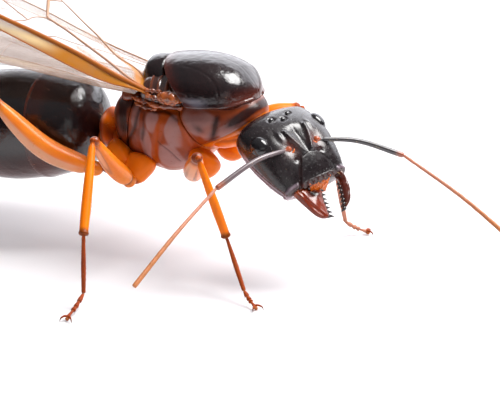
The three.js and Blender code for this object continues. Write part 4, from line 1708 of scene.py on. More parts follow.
    def mouth(self) -> None:
        """Makes the lip, the tongue mass and the palps."""
        shells = []
        v, u = np.meshgrid(np.linspace(0, 1, 26), np.linspace(-1, 1, 49), indexing="ij")
        notch = 0.07 * bump(u, 0, 0.22)
        x = 1.29 + (0.2 - notch + 0.03 * np.cos(u * 4)) * v
        y = u * (0.42 - 0.16 * v)
        rim = np.clip(np.minimum(np.minimum(v, 1 - v) / 0.2, (1 - np.abs(u)) / 0.15), 0, 1)
        z = 0.2 - 0.5 * v**1.2 + 0.03 * rim + 0.045 * np.sin(u * 13 + v * 9) * np.sin(v * 11 - u * 7) * rim
        shells.append(pillow(np.stack([x, y, z], -1), np.stack([x, y, z - 0.02 - 0.05 * rim], -1)))
        tongue = Loft(
            ((0.85, 0, -0.34), (1.44, 0, -0.36)), profile(0.42, 0.42, 0.26), profile(0.2, 0.2, 0.12),
            profile(0.26, 0.24, 0.14),
            start=0.25, end=0.35, stations=40, columns=40,
        ).skin()
        shells.append(tongue.shell())
        for side in Side:
            y = side.value
            for bends in (
                ((1.2, 0.34, -0.42), (1.12, 0.46, -0.6), (0.85, 0.5, -0.74), (0.5, 0.5, -0.8)),
                ((1.3, 0.12, -0.5), (1.22, 0.16, -0.64), (1.02, 0.2, -0.74), (0.85, 0.22, -0.78)),
            ):
                route = tuple((a, b * y, c) for a, b, c in bends)
                skin = Loft(
                    route, profile(0.035, 0.032, 0.03, 0.024), start=0.06, end=0.06, stations=80, columns=14
                ).skin()
                knots = np.sin(np.clip(skin.share, 0, 1) * math.pi * 5) ** 2
                skin.push(0.01 * knots)
                shells.append(skin.shell())
        piece = Shell.joined(shells).object("mouthparts_detail")
        piece.data.transform(self.frame.matrix)
        self.bench.settle(piece, "orange_shell", "mouthparts", coat=Coat.LIP)


@dataclass
class Feelers(Assembly):
    """The two elbowed feelers: a long polished first joint and a whip of eleven joints."""

    frame: HeadFrame = field(default_factory=HeadFrame)
    socket: Place = (0.24, 0.42, 0.6)
    joints: int = 11
    bows: dict[Side, tuple[Place, ...]] = field(
        default_factory=lambda: {
            Side.RIGHT: ((3.47, -2.2, 4.1), (2.84, -3.49, 3.54), (2.6, -5.35, 2.78), (2.31, -7.03, 1.87)),
            Side.LEFT: ((5.2, 0.6, 4.1), (6.29, 1.44, 3.57), (8.02, 1.75, 2.48), (9.91, 2.03, 1.06)),
        }
    )

    def scape(self, side: Side) -> Skin:
        """The long first joint, with the ball at its root.

        Args:
            side: The feeler's side.

        Returns:
            The dressed skin.
        """
        x, y, z = self.socket
        start = self.frame.carry((x, side.value * y, z))
        bow, elbow = self.bows[side][:2]
        thick = profile(0.05, 0.066, 0.074, 0.078, 0.082, 0.085)
        skin = Loft((start, bow, elbow), thick, start=0.02, end=0.03, stations=170, columns=26).skin()
        far = Route(start, bow, elbow).length * skin.share
        ball = 0.048 * bump(far, 0.09, 0.075) - 0.018 * bump(far, 0.24, 0.06)
        skin.push(ball)
        red = 1 - fade(0.16, 0.26, far)
        skin.mark(Tone.AMBER, red)
        skin.mark(Tone.SEAM, fade(0.8, 1.0, skin.share) * 0.7)
        tip = fade(0.86, 0.97, skin.share)
        # Painted shade: the left scape is painted nearly black and the right one barely darkened.
        skin.mark(Tone.GLOOM, (1 - red) * (1 - tip) * (1.0 if side is Side.LEFT else 0.12))
        skin.mark(Tone.AMBER, tip * 0.7)
        return skin.mark(Tone.HAIR, fade(0.3, 0.8, far))

    def joint(self, length: float) -> bpy.types.Object:
        """One joint of the whip, a slim barrel along its own Z with a narrow neck.

        Args:
            length: Its length.

        Returns:
            The joint, to be copied.
        """
        shape = Loft(
            ((0, 0, 0), (0, 0, length)), profile(0.05, 0.0535, 0.055, 0.056, 0.052), start=0.03, end=0.03,
            up=(0, 1, 0), stations=30, columns=18,
        )
        return shape.skin().shell().object("feeler_joint")

    def build(self) -> None:
        """Makes and dresses both feelers."""
        for side in Side:
            scape = self.scape(side).shell().object("scape_detail_" + side.word)
            _, elbow, bend, tip = self.bows[side]
            route = Route(elbow, bend, tip)
            heading = tuple(route.walk(np.array([0.3]))[1][0])
            fuzz = Growth.hairs(
                "scape_hairs_" + side.word, scape, 30.0, 0.055, 0.0035, Coat.HAIR, heading, 0.75, 21
            )
            path = route.walk(np.linspace(0, 1 - 1 / self.joints, 40))[0]
            step = route.length / self.joints
            whip = Growth.row(
                "whip_" + side.word, path, self.joint(step * 1.02), self.joints, (0.84, 1.28), Coat.FEELER,
                (0, 0, 0), 1.2,
            )
            spots = np.array([v.co for v in whip.data.vertices])
            outer = fade(0.75, 0.2, np.linalg.norm(spots - np.asarray(tip), axis=1) / route.length)
            for tone, values in ((Tone.AMBER, outer), (Tone.HAIR, np.ones(len(spots)))):
                paint(whip.data, tone.value, values)
            down = Growth.hairs(
                "whip_hairs_" + side.word, whip, 75.0, 0.05, 0.003, Coat.HAIR, heading, 0.72, 23
            )
            self.bench.settle(scape, "black_shell", "scape_" + side.word, coat=Coat.SCAPE)
            self.bench.settle(fuzz, "black_shell")
            self.bench.settle(whip, "orange_shell", "flagellum_" + side.word)
            self.bench.settle(down, "orange_shell")


# ---------------------------------------------------------------- middle body


@dataclass
class MiddleBody(Assembly):
    """The mesosoma: scutum, scutellum and axillae above, and the plates of the flank below."""

    tegula: Place = (0.08, 1.14, 5.08)
    tegula_length: float = 0.8
    trunk: Loft = Loft(
        ((-2.22, 0, 3.7), (2.58, 0, 4.76)), profile(0.75, 1.03, 1.22, 1.3, 1.27, 1.03, 0.6),
        profile(0.78, 0.97, 0.93, 0.8, 0.8, 0.73, 0.46), profile(0.78, 1.2, 1.56, 1.38, 0.95, 0.66, 0.4),
        square=2.2, start=0.1, end=0.1, stations=210, columns=220,
    )
    scutum: Loft = Loft(
        ((-0.88, 0, 4.8), (2.36, 0, 5.22)), profile(0.86, 1.16, 1.28, 1.31, 1.24, 1.06, 0.7),
        profile(0.96, 1.16, 1.2, 1.18, 1.08, 0.86, 0.5), profile(0.25, 0.25, 0.25, 0.27, 0.31, 0.36, 0.34),
        square=2.25, start=0.08, end=0.16, stations=200, columns=240,
    )
    hind_lofts: dict[str, tuple[Loft, Coat, str]] = field(
        default_factory=lambda: {
            "scutellum": (
                Loft(
                    ((-1.38, 0, 5.02), (-0.12, 0, 5.22)), profile(0.5, 0.68, 0.76, 0.72),
                    profile(0.56, 0.8, 0.84, 0.72),
                    profile(0.3, 0.3, 0.3), start=0.36, end=0.3, stations=90, columns=110,
                ),
                Coat.BLACK, "black_shell",
            ),
            "axillae": (
                Loft(
                    ((-1.3, 0, 4.9), (0.6, 0, 4.95)), profile(0.85, 1.12, 1.24, 1.22),
                    profile(0.5, 0.72, 0.6, 0.2),
                    profile(0.2, 0.2, 0.2, 0.2), start=0.2, end=0.12, stations=90, columns=110,
                ),
                Coat.RED_BROWN, "red_brown_shell",
            ),
            "metanotum": (
                Loft(
                    ((-1.95, 0, 4.62), (-1.2, 0, 4.82)), profile(0.62, 0.85, 0.85), profile(0.3, 0.42, 0.4),
                    profile(0.2, 0.2, 0.2), start=0.4, end=0.3, stations=60, columns=90,
                ),
                Coat.RED_BROWN, "red_brown_shell",
            ),
        }
    )
    front_seam: tuple[Place, float] = ((0.69, 0, 4.26), -0.63)
    rear_seam: tuple[Place, float] = ((-1.38, 0, 4.0), 0.1)
    hem: tuple[Place, float] = ((0.0, 0, 5.57), 0.74)
    joint: float = 0.012
    breast_line: tuple[Spot, ...] = (
        (0.9, 3.62), (1.08, 3.78), (1.5, 3.98), (1.9, 4.22), (2.2, 4.44), (2.6, 4.75)
    )
    orange_bands: tuple[Line, ...] = (
        Line(((-0.02, 4.62), (-0.16, 4.28), (-0.3, 3.9)), 0.15, -0.025),
        Line(((-0.3, 3.9), (-0.42, 3.5), (-0.52, 2.95), (-0.5, 2.5)), 0.12, -0.035),
        Line(((0.42, 4.7), (-0.3, 4.68), (-1.0, 4.58)), 0.07, -0.035),
        Line(((0.45, 4.55), (0.62, 4.2), (0.75, 3.8)), 0.08, -0.015),
        Line(((-1.98, 4.0), (-1.9, 3.6), (-1.7, 3.2)), 0.12, -0.01),
    )
    brown_bands: tuple[Line, ...] = (
        Line(((-1.72, 4.75), (-1.64, 4.35), (-1.52, 3.95)), 0.17, -0.015),
        Line(((-1.0, 4.62), (-1.09, 4.09), (-1.45, 3.41)), 0.06, -0.022),
        Line(((-0.8, 4.5), (-0.77, 4.07), (-0.85, 3.7)), 0.055, -0.022),
        Line(((-0.45, 4.58), (-0.05, 4.66), (0.4, 4.5)), 0.05, -0.02),
        Line(((-0.28, 3.71), (0.1, 3.45), (0.27, 3.15)), 0.03, -0.016),
        Line(((1.58, 4.7), (1.52, 4.35), (1.4, 4.02)), 0.1, -0.014),
        Line(((-2.1, 3.9), (-1.75, 3.5), (-1.5, 3.0)), 0.05, -0.02),
    )
    # Painted floor reflection, as mauve panels between the orange-brown folds.
    reflection_panels: tuple[tuple[Patch, float], ...] = (
        (Patch((1.05, 4.5), (0.6, 0.38), -0.25), 0.95), (Patch((1.95, 4.34), (0.42, 0.24), 0.5), 0.95),
        (Patch((0.24, 4.13), (0.3, 0.5), 0.2), 0.95), (Patch((-0.45, 4.27), (0.24, 0.3), 0.25), 0.9),
        (Patch((-0.7, 3.5), (0.2, 0.58), 0.12), 0.85), (Patch((0.0, 3.27), (0.4, 0.42), 0.25), 0.85),
        (Patch((-1.1, 4.3), (0.15, 0.34), 0.1), 0.8), (Patch((-1.12, 3.45), (0.12, 0.34), 0.2), 0.45),
        (Patch((-1.87, 3.43), (0.14, 0.15)), 0.7), (Patch((1.35, 4.16), (0.24, 0.14), 0.6), 0.5),
    )
    # Orange-brown blushes, and the dark clouds under the back and behind.
    blushes: tuple[tuple[Patch, float], ...] = (
        (Patch((0.6, 3.85), (0.17, 0.34)), 0.8), (Patch((-1.05, 3.35), (0.17, 0.55)), 0.6),
        (Patch((0.85, 4.78), (0.4, 0.1), 0.1), 0.6),
    )
    shadows: tuple[tuple[Patch, float], ...] = (
        (Patch((2.15, 4.7), (0.4, 0.15), 0.62), 1.4), (Patch((1.08, 4.33), (0.16, 0.1), -0.5), 0.55),
        (Patch((1.3, 4.96), (0.8, 0.1), 0.1), 0.7), (Patch((1.0, 4.58), (0.55, 0.32), -0.15), 0.42),
        (Patch((-1.45, 3.2), (0.2, 0.3)), 0.5), (Patch((-1.0, 3.9), (0.22, 0.2)), 0.4),
    )
    bulges: tuple[tuple[Patch, float], ...] = (
        (Patch((1.1, 4.62), (0.45, 0.26), -0.2), 0.035), (Patch((0.25, 4.2), (0.34, 0.42), 0.3), 0.035),
        (Patch((-0.6, 4.3), (0.2, 0.26)), 0.03), (Patch((-1.3, 4.3), (0.14, 0.28)), 0.025),
        (Patch((-0.72, 3.55), (0.16, 0.4)), 0.025), (Patch((-1.75, 3.25), (0.28, 0.24)), 0.05),
    )

    def seam_normal(self, tip: float) -> Place:
        """The forward direction across a seam that is tipped about Y."""
        return (math.cos(tip), 0.0, -math.sin(tip))

    def dressed_trunk(self) -> Skin:
        """The trunk with the relief and tones of all its plates, before it is parted.

        Returns:
            The skin.
        """
        skin = self.trunk.skin(-0.004)
        p = skin.points
        x, z = p[..., 0], p[..., 2]
        side = fade(0.35, 0.7, np.abs(p[..., 1]))
        height = sum(
            (line.height * line.weight(p) for line in self.orange_bands + self.brown_bands), 0 * side
        )
        height = height + sum(rise * patch.weight(p) for patch, rise in self.bulges)
        skin.push(height * side)
        for line in self.orange_bands:
            skin.mark(Tone.SEAM, line.weight(p, True) * side)
        for patch, weight in self.blushes:
            skin.mark(Tone.SEAM, patch.weight(p) * weight * side)
        # Painted reflection of the floor, laid as pale mauve panels.
        for patch, weight in self.reflection_panels:
            skin.mark(Tone.PALE, patch.weight(p, True) * weight * side)
        margin = np.interp(x, *zip(*self.breast_line))
        breast = fade(0.03, -0.03, z - margin) * fade(0.8, 1.1, x)
        skin.mark(Tone.AMBER, breast)
        skin.mark(Tone.SEAM, 0.35 * fade(3.3, 2.7, z))
        rim = bump(z, margin, 0.035) * fade(0.9, 1.3, x)
        gloom = rim * 0.3 + sum(weight * patch.weight(p) for patch, weight in self.shadows)
        gloom = gloom + fade(4.4, 4.62, z) * fade(-1.05, -1.35, x) * 0.8 + 0.35 * fade(-1.3, -1.6, x)
        gloom = gloom + 0.25 * fade(-0.5, -1.1, x) * (0.7 + 0.3 * np.sin(z * 9 + x * 5))
        for line in self.brown_bands:
            gloom = gloom + line.weight(p) * (0.9 if line.width > 0.06 else 0.6)
        ledge = Line(((0.7, 4.9), (1.6, 4.98), (2.5, 5.12)), 0.05).weight(p)
        skin.push((0.07 * ledge - 0.02 * rim) * side)
        # Painted highlight along the ledge.
        skin.mark(Tone.PALE, ledge * 0.9)
        front = fade(-0.12, 0.12, x - 1.9 - 0.7 * (z - 4.43)) * fade(0.0, 0.12, z - 4.42 - 0.6 * (x - 1.92))
        skin.mark(Tone.GLOOM, gloom * side + front)
        return skin.mark(Tone.HAIR, fade(4.4, 4.8, z) * 0.15 + 0.04)

    def plates(self) -> None:
        """Parts the trunk at its two seams into its three plates."""
        front, rear = self.front_seam, self.rear_seam
        ahead, back = self.seam_normal(front[1]), self.seam_normal(rear[1])
        behind_front = tuple(-c for c in ahead)
        behind_rear = tuple(-c for c in back)
        whole = self.dressed_trunk()
        parts = {
            "pronotum": (((front[0], behind_front),), Coat.FLANK, "flank_shell"),
            "mesopleuron": (((front[0], ahead), (rear[0], behind_rear)), Coat.FLANK, "flank_shell"),
            "propodeum": (((rear[0], back),), Coat.FLANK, "red_brown_shell"),
        }
        for name, (cuts, coat, slot) in parts.items():
            skin = Skin(whole.points.copy(), whole.spine.copy(), whole.share)
            skin.tones = dict(whole.tones)
            for place, outward in cuts:
                near_plane = tuple(np.asarray(place) - np.asarray(outward) * self.joint)
                rim = (skin.points - np.asarray(near_plane)) @ np.asarray(outward)
                skin.mark(Tone.SEAM, bump(rim, 0, 0.09) * 0.6)
                skin.mark(Tone.GLOOM, bump(rim, 0, 0.03) * 0.12)
                skin.cut(near_plane, outward, 0.018)
            obj = skin.shell().object(name + "_plate")
            hair = Growth.hairs(name + "_hairs", obj, 5.0, 0.1, 0.0025, Coat.BRISTLE, (-0.8, 0, 0.3), 0.4, 31)
            self.bench.settle(obj, slot, name, coat=coat)
            self.bench.settle(hair, slot)

    def back(self) -> None:
        """Makes the plates of the back."""
        skin = self.scutum.skin()
        p = skin.points
        above = fade(5.0, 5.3, p[..., 2])
        lobe = Line(
            ((0.3, 0.76), (0.53, 0.8), (0.86, 0.85), (1.28, 0.94), (1.5, 1.02), (1.66, 1.12)), 0.028,
            view=View.ABOVE,
        ).weight(p)
        middle = Line(((1.35, 0.0), (2.4, 0.0)), 0.018, view=View.ABOVE).weight(p)
        rim = (
            Line(((0.2, 4.96), (1.2, 5.0), (1.9, 5.08), (2.5, 5.2)), 0.05).weight(p)
            * (np.abs(p[..., 1]) > 0.3)
        )
        outside = fade(0.86, 1.0, np.abs(p[..., 1]) - 0.12 * (p[..., 0] - 0.8)) * fade(1.7, 1.2, p[..., 0])
        skin.push((-0.012 * lobe - 0.006 * middle) * above - 0.01 * outside * above + 0.045 * rim)
        skin.cut(self.hem[0], (-math.sin(self.hem[1]), 0, -math.cos(self.hem[1])), 0.02, 0.3)
        front = fade(1.5, 2.3, p[..., 0]) * fade(5.65, 5.1, p[..., 2])
        over = (p - np.asarray(self.hem[0])) @ np.array([math.sin(self.hem[1]), 0, math.cos(self.hem[1])])
        skin.mark(Tone.SEAM, rim * 0.5 + bump(over, 0, 0.2) * 0.95)
        skin.mark(Tone.GLOOM, front * 0.8)
        # Painted reflection of the floor, pale blue-grey along the scutum's lower flange.
        flange_reflection = fade(5.2, 5.05, p[..., 2] - 0.1 * p[..., 0]) * fade(1.5, 0.9, p[..., 0])
        skin.mark(Tone.PALE, flange_reflection * (np.abs(p[..., 1]) > 0.4) * 0.9)
        skin.mark(Tone.HAIR, above * 0.6)
        obj = skin.shell().object("scutum_plate")
        hair = Growth.hairs("scutum_hairs", obj, 1.2, 0.12, 0.0025, Coat.BRISTLE, (-0.8, 0, 0.4), 0.35, 41)
        self.bench.settle(obj, "black_shell", "mesoscutum", coat=Coat.BLACK)
        self.bench.settle(hair, "black_shell")
        self.hind_plates()

    def hind_plates(self) -> None:
        """Makes the scutellum, the axillae beside it and the metanotum behind it."""
        for name, (loft, coat, slot) in self.hind_lofts.items():
            skin = loft.skin()
            p = skin.points
            if name == "axillae":
                folds = sum(
                    Line(((x, 5.6), (x + 0.12, 5.3), (x + 0.3, 4.95)), 0.035).weight(p)
                    for x in (-0.75, -0.5, -0.25, 0.0)
                )
                skin.push(0.03 * folds)
                skin.mark(Tone.GLOOM, 0.75 - 0.7 * folds)
            if name == "scutellum":
                skin.push(-0.02 * Line(((-1.5, 5.35), (-0.9, 5.3), (-0.4, 5.32)), 0.04).weight(p))
                skin.mark(Tone.GLOOM, fade(5.5, 5.2, p[..., 2]) * 0.4)
            skin.mark(Tone.HAIR, fade(5.3, 5.6, p[..., 2]))
            obj = skin.shell().object(name + "_plate")
            if name == "scutellum":
                hair = Growth.hairs(
                    "scutellum_hairs", obj, 4.0, 0.14, 0.0025, Coat.BRISTLE, (-0.9, 0, 0.3), 0.4, 43
                )
                self.bench.settle(hair, slot)
            self.bench.settle(obj, slot, name, coat=coat)

    def hinges(self) -> None:
        """Makes the tegulae and the small plates and struts at the roots of the wings."""
        x, y, z = self.tegula
        for side in Side:
            s = side.value
            half = self.tegula_length / 2
            cap = Loft(
                ((x - half, s * y, z), (x + half, s * (y + 0.06), z)), profile(0.17, 0.2, 0.15), start=0.4,
                end=0.4,
                stations=60, columns=60,
            ).skin()
            q = cap.points
            crinkle = np.sin(q[..., 0] * 21 + q[..., 1] * 5) * np.sin(q[..., 1] * 27 - q[..., 2] * 19)
            cap.push(0.022 * crinkle)
            cap.mark(Tone.SEAM, 0.55 + 0.4 * crinkle)
            cap.mark(Tone.HAIR, 1.0)
            obj = cap.shell().object("tegula_cap_" + side.word)
            hair = Growth.hairs(
                "tegula_hairs_" + side.word, obj, 30.0, 0.08, 0.0038, Coat.HAIR, (-0.8, 0, 0.2), 0.5, 51
            )
            self.bench.settle(obj, "red_brown_shell", "tegula_" + side.word, coat=Coat.RED_BROWN)
            self.bench.settle(hair, "red_brown_shell")
            struts = (
                (((0.5, 1.16, 4.84), (0.1, 1.26, 4.86), (-0.35, 1.2, 4.8), (-0.8, 1.1, 4.86)), 0.075),
                (((-0.1, 1.2, 5.0), (-0.45, 1.2, 5.04), (-0.8, 1.14, 5.1)), 0.07),
                (((-0.2, 1.1, 5.22), (-0.5, 1.12, 5.2), (-0.85, 1.06, 5.16)), 0.06),
                (((-0.5, 1.05, 4.8), (-0.9, 1.0, 4.78), (-1.3, 0.95, 4.86)), 0.07),
                (((-0.3, 1.18, 4.68), (-0.8, 1.1, 4.66), (-1.2, 1.0, 4.72)), 0.05),
            )
            shells = []
            for bends, thick in struts:
                route = tuple((a, b * s, c) for a, b, c in bends)
                skin = Loft(
                    route, profile(thick * 0.7, thick, thick * 0.9, thick * 0.6), start=0.12, end=0.12,
                    stations=36, columns=18,
                ).skin()
                ripple = np.sin(skin.share * 19 + thick * 90) * 0.018
                twist = np.sin(skin.share[:, None] * 31 + np.arange(18)[None] * 1.05 + thick * 50) * 0.012
                skin.push(ripple[:, None] + twist)
                skin.mark(Tone.SEAM, 0.35 + 0.4 * np.sin(skin.share * 7 + thick * 40))
                shells.append(skin.shell())
            obj = Shell.joined(shells).object("wing_hinge_" + side.word)
            self.bench.settle(obj, "red_brown_shell", coat=Coat.RED_BROWN)

    def neck(self) -> None:
        """Makes the front breast and neck under the pronotum."""
        skin = Loft(
            ((0.95, 0, 3.82), (1.75, 0, 4.1), (2.38, 0, 4.44)), profile(0.82, 0.86, 0.66, 0.3),
            profile(0.3, 0.34, 0.34, 0.26),
            profile(0.38, 0.46, 0.42, 0.26), start=0.25, end=0.15, stations=90, columns=90,
        ).skin()
        p = skin.points
        fold = Line(((1.4, 3.9), (1.9, 3.95), (2.4, 4.2)), 0.05).weight(p)
        skin.push(-0.02 * fold)
        skin.mark(Tone.SEAM, fold * 0.5)
        self.bench.settle(skin.shell().object("front_breast"), "orange_shell", "neck", coat=Coat.ORANGE)

    def build(self) -> None:
        """Makes and dresses the whole middle body."""
        self.plates()
        self.back()
        self.hinges()
        self.neck()


# ---------------------------------------------------------------- waist and hind body


@dataclass
class HindBody(Assembly):
    """The upright scale of the waist and the five overlapping rings of the gaster."""

    scale: Loft = Loft(
        ((-2.5, 0, 2.86), (-2.52, 0, 3.5), (-2.56, 0, 4.05)), profile(0.34, 0.5, 0.58, 0.5),
        profile(0.3, 0.26, 0.2, 0.12),
        start=0.3, end=0.3, up=(1, 0, 0), stations=90, columns=90,
    )
    stalk: Loft = Loft(
        ((-3.1, 0, 3.12), (-2.1, 0, 3.2)), profile(0.3, 0.3), start=0.2, end=0.2, stations=50, columns=50
    )
    gaster: Loft = Loft(
        ((-8.95, 0, 2.5), (-6.0, 0, 2.95), (-2.78, 0, 3.42)), profile(0.42, 1.1, 1.5, 1.65, 1.62, 1.48, 1.16),
        profile(0.42, 1.12, 1.56, 1.7, 1.64, 1.48, 1.32), profile(0.34, 1.02, 1.46, 1.62, 1.56, 1.34, 0.95),
        start=0.1, end=0.09, stations=260, columns=160,
    )
    ends: tuple[float, ...] = (0.29, 0.6, 0.8, 0.93, 1.1)
    telescope: float = 0.03

    def waist(self) -> None:
        """Makes the waist."""
        scale = self.scale.skin()
        p = scale.points
        dark = (
            fade(3.3, 2.9, p[..., 2]) * 0.6
            + Line(((-2.6, 3.0), (-2.55, 3.5), (-2.62, 4.1)), 0.05).weight(p) * 0.3
        )
        scale.mark(Tone.SEAM, dark + 0.5 + 0.35 * np.sin(p[..., 2] * 7 + p[..., 1] * 9))
        scale.mark(Tone.PALE, 0.45 * Line(((-2.62, 3.2), (-2.56, 3.9)), 0.06).weight(p))
        scale.mark(Tone.HAIR, fade(3.35, 3.7, p[..., 2]))
        stalk = self.stalk.skin()
        stalk.mark(Tone.SEAM, 0.6)
        obj = Shell.joined([scale.shell(), stalk.shell()]).object("waist")
        hair = Growth.hairs("waist_hairs", obj, 26.0, 0.18, 0.004, Coat.HAIR, (-0.6, 0, 0.6), 0.3, 61)
        self.bench.settle(obj, "orange_shell", "petiole", coat=Coat.ORANGE)
        self.bench.settle(hair, "orange_shell")

    def ring(self, index: int) -> Skin:
        """One ring of the gaster, ending behind in a raised rim.

        Args:
            index: The ring's number, from 0 in front.

        Returns:
            The dressed skin.
        """
        route = Route(*self.gaster.route)
        loft = replace(self.gaster, stations=300)
        skin = loft.skin(-self.telescope * index)
        front = -0.1 if index == 0 else self.ends[index - 1]
        back = self.ends[index]
        p = skin.points
        for share, sign in ((front - 0.035, 1), (back, -1)):
            if 0 < share < 1:
                place, heading = (a[0] for a in route.walk(np.array([1 - share])))
                gone = (p - place) @ heading * sign
                if sign < 0:
                    rim = fade(-0.14, -0.05, gone)
                    lip = bump(gone, -0.1, 0.1) * 0.014
                    skin.push(lip)
                    skin.mark(Tone.GLOOM, rim * (0.35 + 0.65 * fade(3.4, 4.4, p[..., 2])))
                    skin.mark(Tone.SEAM, bump(gone, -0.3, 0.25) * 0.6)
                    skin.mark(Tone.HAIR, bump(gone, -0.16, 0.06))
                skin.cut(tuple(place), tuple(heading * sign), 0.012, 0.35)
        under = fade(3.0, 1.9, p[..., 2] + 0.25 * np.sin(p[..., 0] * 2.1))
        skin.mark(Tone.GLOOM, under * 0.55)
        skin.mark(Tone.HAIR, 0.05)
        return skin

    def build(self) -> None:
        """Makes and dresses the waist and the gaster."""
        self.waist()
        for index in range(len(self.ends)):
            obj = self.ring(index).shell().object(f"gaster_ring_{index + 1}")
            long = Growth.hairs(
                f"gaster_hairs_{index + 1}", obj, 12.0, 0.16, 0.0026, Coat.BRISTLE, (-0.9, 0, 0.1), 0.6,
                71 + index,
            )
            self.bench.settle(obj, "black_shell", f"gaster_{index + 1}", coat=Coat.BLACK)
            self.bench.settle(long, "black_shell")


# ---------------------------------------------------------------- wings


@dataclass(frozen=True)
class Plan:
    """A wing's outline and veins, as distance from the hinge and chord behind the straight front edge."""

    length: float
    front: tuple[Spot, ...]
    rear: tuple[Spot, ...]
    veins: tuple[tuple[tuple[Spot, ...], float, float], ...]
    fall: float
    amber: float
    stains: tuple[tuple[Line | Patch, float], ...] = ()

    def edges(self, x: Array) -> tuple[Array, Array]:
        """The front and rear edge at distances from the hinge.

        Args:
            x: The distances.

        Returns:
            The chords of both edges.
        """
        result = []
        for spots in (self.front, self.rear):
            trail = Route(*spots).dense
            order = np.argsort(trail[:, 0], kind="stable")
            result.append(np.interp(x, trail[order, 0], trail[order, 1]))
        return result[0], result[1]

    def fold(self, x: Array) -> Array:
        """Chord of the strong vein that the front strip is bent down along."""
        trail = Route(*self.veins[1][0]).dense
        return np.interp(x, trail[:, 0], trail[:, 1])

    def rise(self, x: Array, y: Array) -> Array:
        """Height of the film over the wing's plane: a strip bent down in front, and shallow pleats.

        Args:
            x: Distances from the hinge.
            y: Chords.

        Returns:
            The heights there.
        """
        open_ = fade(0.0, 1.2, x) * (1 - 0.75 * fade(0.6 * self.length, self.length, x))
        fold = np.maximum(self.fold(x), -0.2)
        bent = -self.fall * np.clip((fold - y) / (fold + 0.26), 0, 1.1) ** 1.2 * open_
        fan = 0.05 * np.sin(y * 4.2 - 0.6) * fade(0.2, 1.0, y) * np.exp(-x / 9)
        return bent + fan - 0.0025 * np.maximum(x - 6, 0) ** 2


FOREWING = Plan(
    15.2,
    ((0, -0.04), (1.5, -0.2), (4, -0.26), (8, -0.27), (11.5, -0.13), (13.6, 0.2), (14.8, 0.9), (15.2, 1.9)),
    (
        (0, 0.42), (0.8, 0.82), (1.8, 1.3), (3.2, 2.0), (5.5, 3.1), (8, 4.0), (11, 4.6), (13.2, 4.2),
        (14.8, 3.0), (15.2, 1.9),
    ),
    (
        (((0.0, 0.0), (1.5, -0.19), (4, -0.25), (8, -0.26), (11, -0.16)), 0.022, 0.024),
        (
            ((0.05, 0.1), (1.3, 0.06), (2.5, 0.11), (3.9, 0.02), (4.95, -0.1), (7.0, -0.15), (8.7, -0.2)),
            0.085, 0.055,
        ),
        (((0.1, 0.18), (0.6, 0.22), (1.57, 0.5), (2.55, 0.75), (3.3, 0.98), (3.99, 1.1)), 0.045, 0.032),
        (((3.99, 1.1), (4.25, 0.75), (4.35, 0.4), (4.62, -0.02)), 0.018, 0.015),
        (((3.99, 1.1), (4.2, 1.5), (4.4, 1.9)), 0.045, 0.055),
        (((4.4, 1.9), (5.4, 2.5), (7.4, 3.4)), 0.025, 0.012),
        (
            ((0.15, 0.26), (0.6, 0.72), (1.03, 0.95), (1.51, 1.03), (2.39, 1.48), (3.3, 1.84), (4.6, 2.5)),
            0.042, 0.014,
        ),
        (((4.4, 1.9), (4.1, 2.2)), 0.02, 0.014),
        (((4.35, 0.45), (6.0, 0.9), (8.0, 1.15), (10.5, 0.9), (12.6, 0.25)), 0.018, 0.014),
        (((6.0, 0.9), (6.9, 1.7), (8.2, 2.2), (11.5, 2.5)), 0.016, 0.01),
        (((8.6, -0.18), (8.9, 0.5), (9.2, 1.1)), 0.02, 0.016),
        (((9.2, 1.1), (11.0, 1.8), (13.4, 2.4)), 0.014, 0.01),
    ),
    0.3,
    1.0,
    (
        (Line(((0.5, 0.5), (0.9, 0.85), (1.34, 1.03)), 0.14, view=View.ABOVE), 1.0),
        (Line(((0.9, 0.85), (1.34, 1.03), (2.0, 1.25)), 0.12, view=View.ABOVE), 0.35),
        (Line(((1.34, 1.03), (2.2, 1.3), (2.9, 1.5)), 0.08, view=View.ABOVE), 0.25),
        (Line(((0.8, 0.12), (1.6, 0.22), (2.6, 0.4)), 0.1, view=View.ABOVE), 0.45),
        (Line(((0.3, 0.35), (0.9, 0.6)), 0.2, view=View.ABOVE), 0.4),
        (Line(((1.6, 0.85), (2.6, 1.2)), 0.3, view=View.ABOVE), 0.14),
        (Patch((1.1, 0.56), (0.42, 0.2), 0.5, View.ABOVE), -0.9),
    ),
)
HINDWING = Plan(
    10.5,
    ((0, -0.04), (2, -0.1), (5, -0.12), (8, 0.05), (9.6, 0.35), (10.3, 0.8), (10.5, 1.3)),
    ((0, 0.35), (1.2, 0.8), (2.8, 1.5), (5, 2.3), (7.6, 2.9), (9.4, 2.5), (10.3, 1.9), (10.5, 1.3)),
    (
        (((0.0, 0.0), (2, -0.09), (5, -0.1), (6.6, 0.0)), 0.016, 0.014),
        (((0.05, 0.12), (1.5, 0.22), (3.0, 0.3), (4.4, 0.25), (5.4, 0.05)), 0.018, 0.014),
        (((0.1, 0.2), (1.8, 0.75), (3.6, 1.25), (4.6, 1.45), (6.8, 1.9)), 0.016, 0.01),
        (((4.4, 0.25), (4.5, 0.8), (4.6, 1.45)), 0.012, 0.01),
        (((4.4, 0.25), (6.5, 0.6), (9.4, 0.75)), 0.013, 0.01),
        (((0.12, 0.26), (1.6, 0.95), (3.4, 1.75)), 0.014, 0.01),
    ),
    0.08,
    0.25,
)


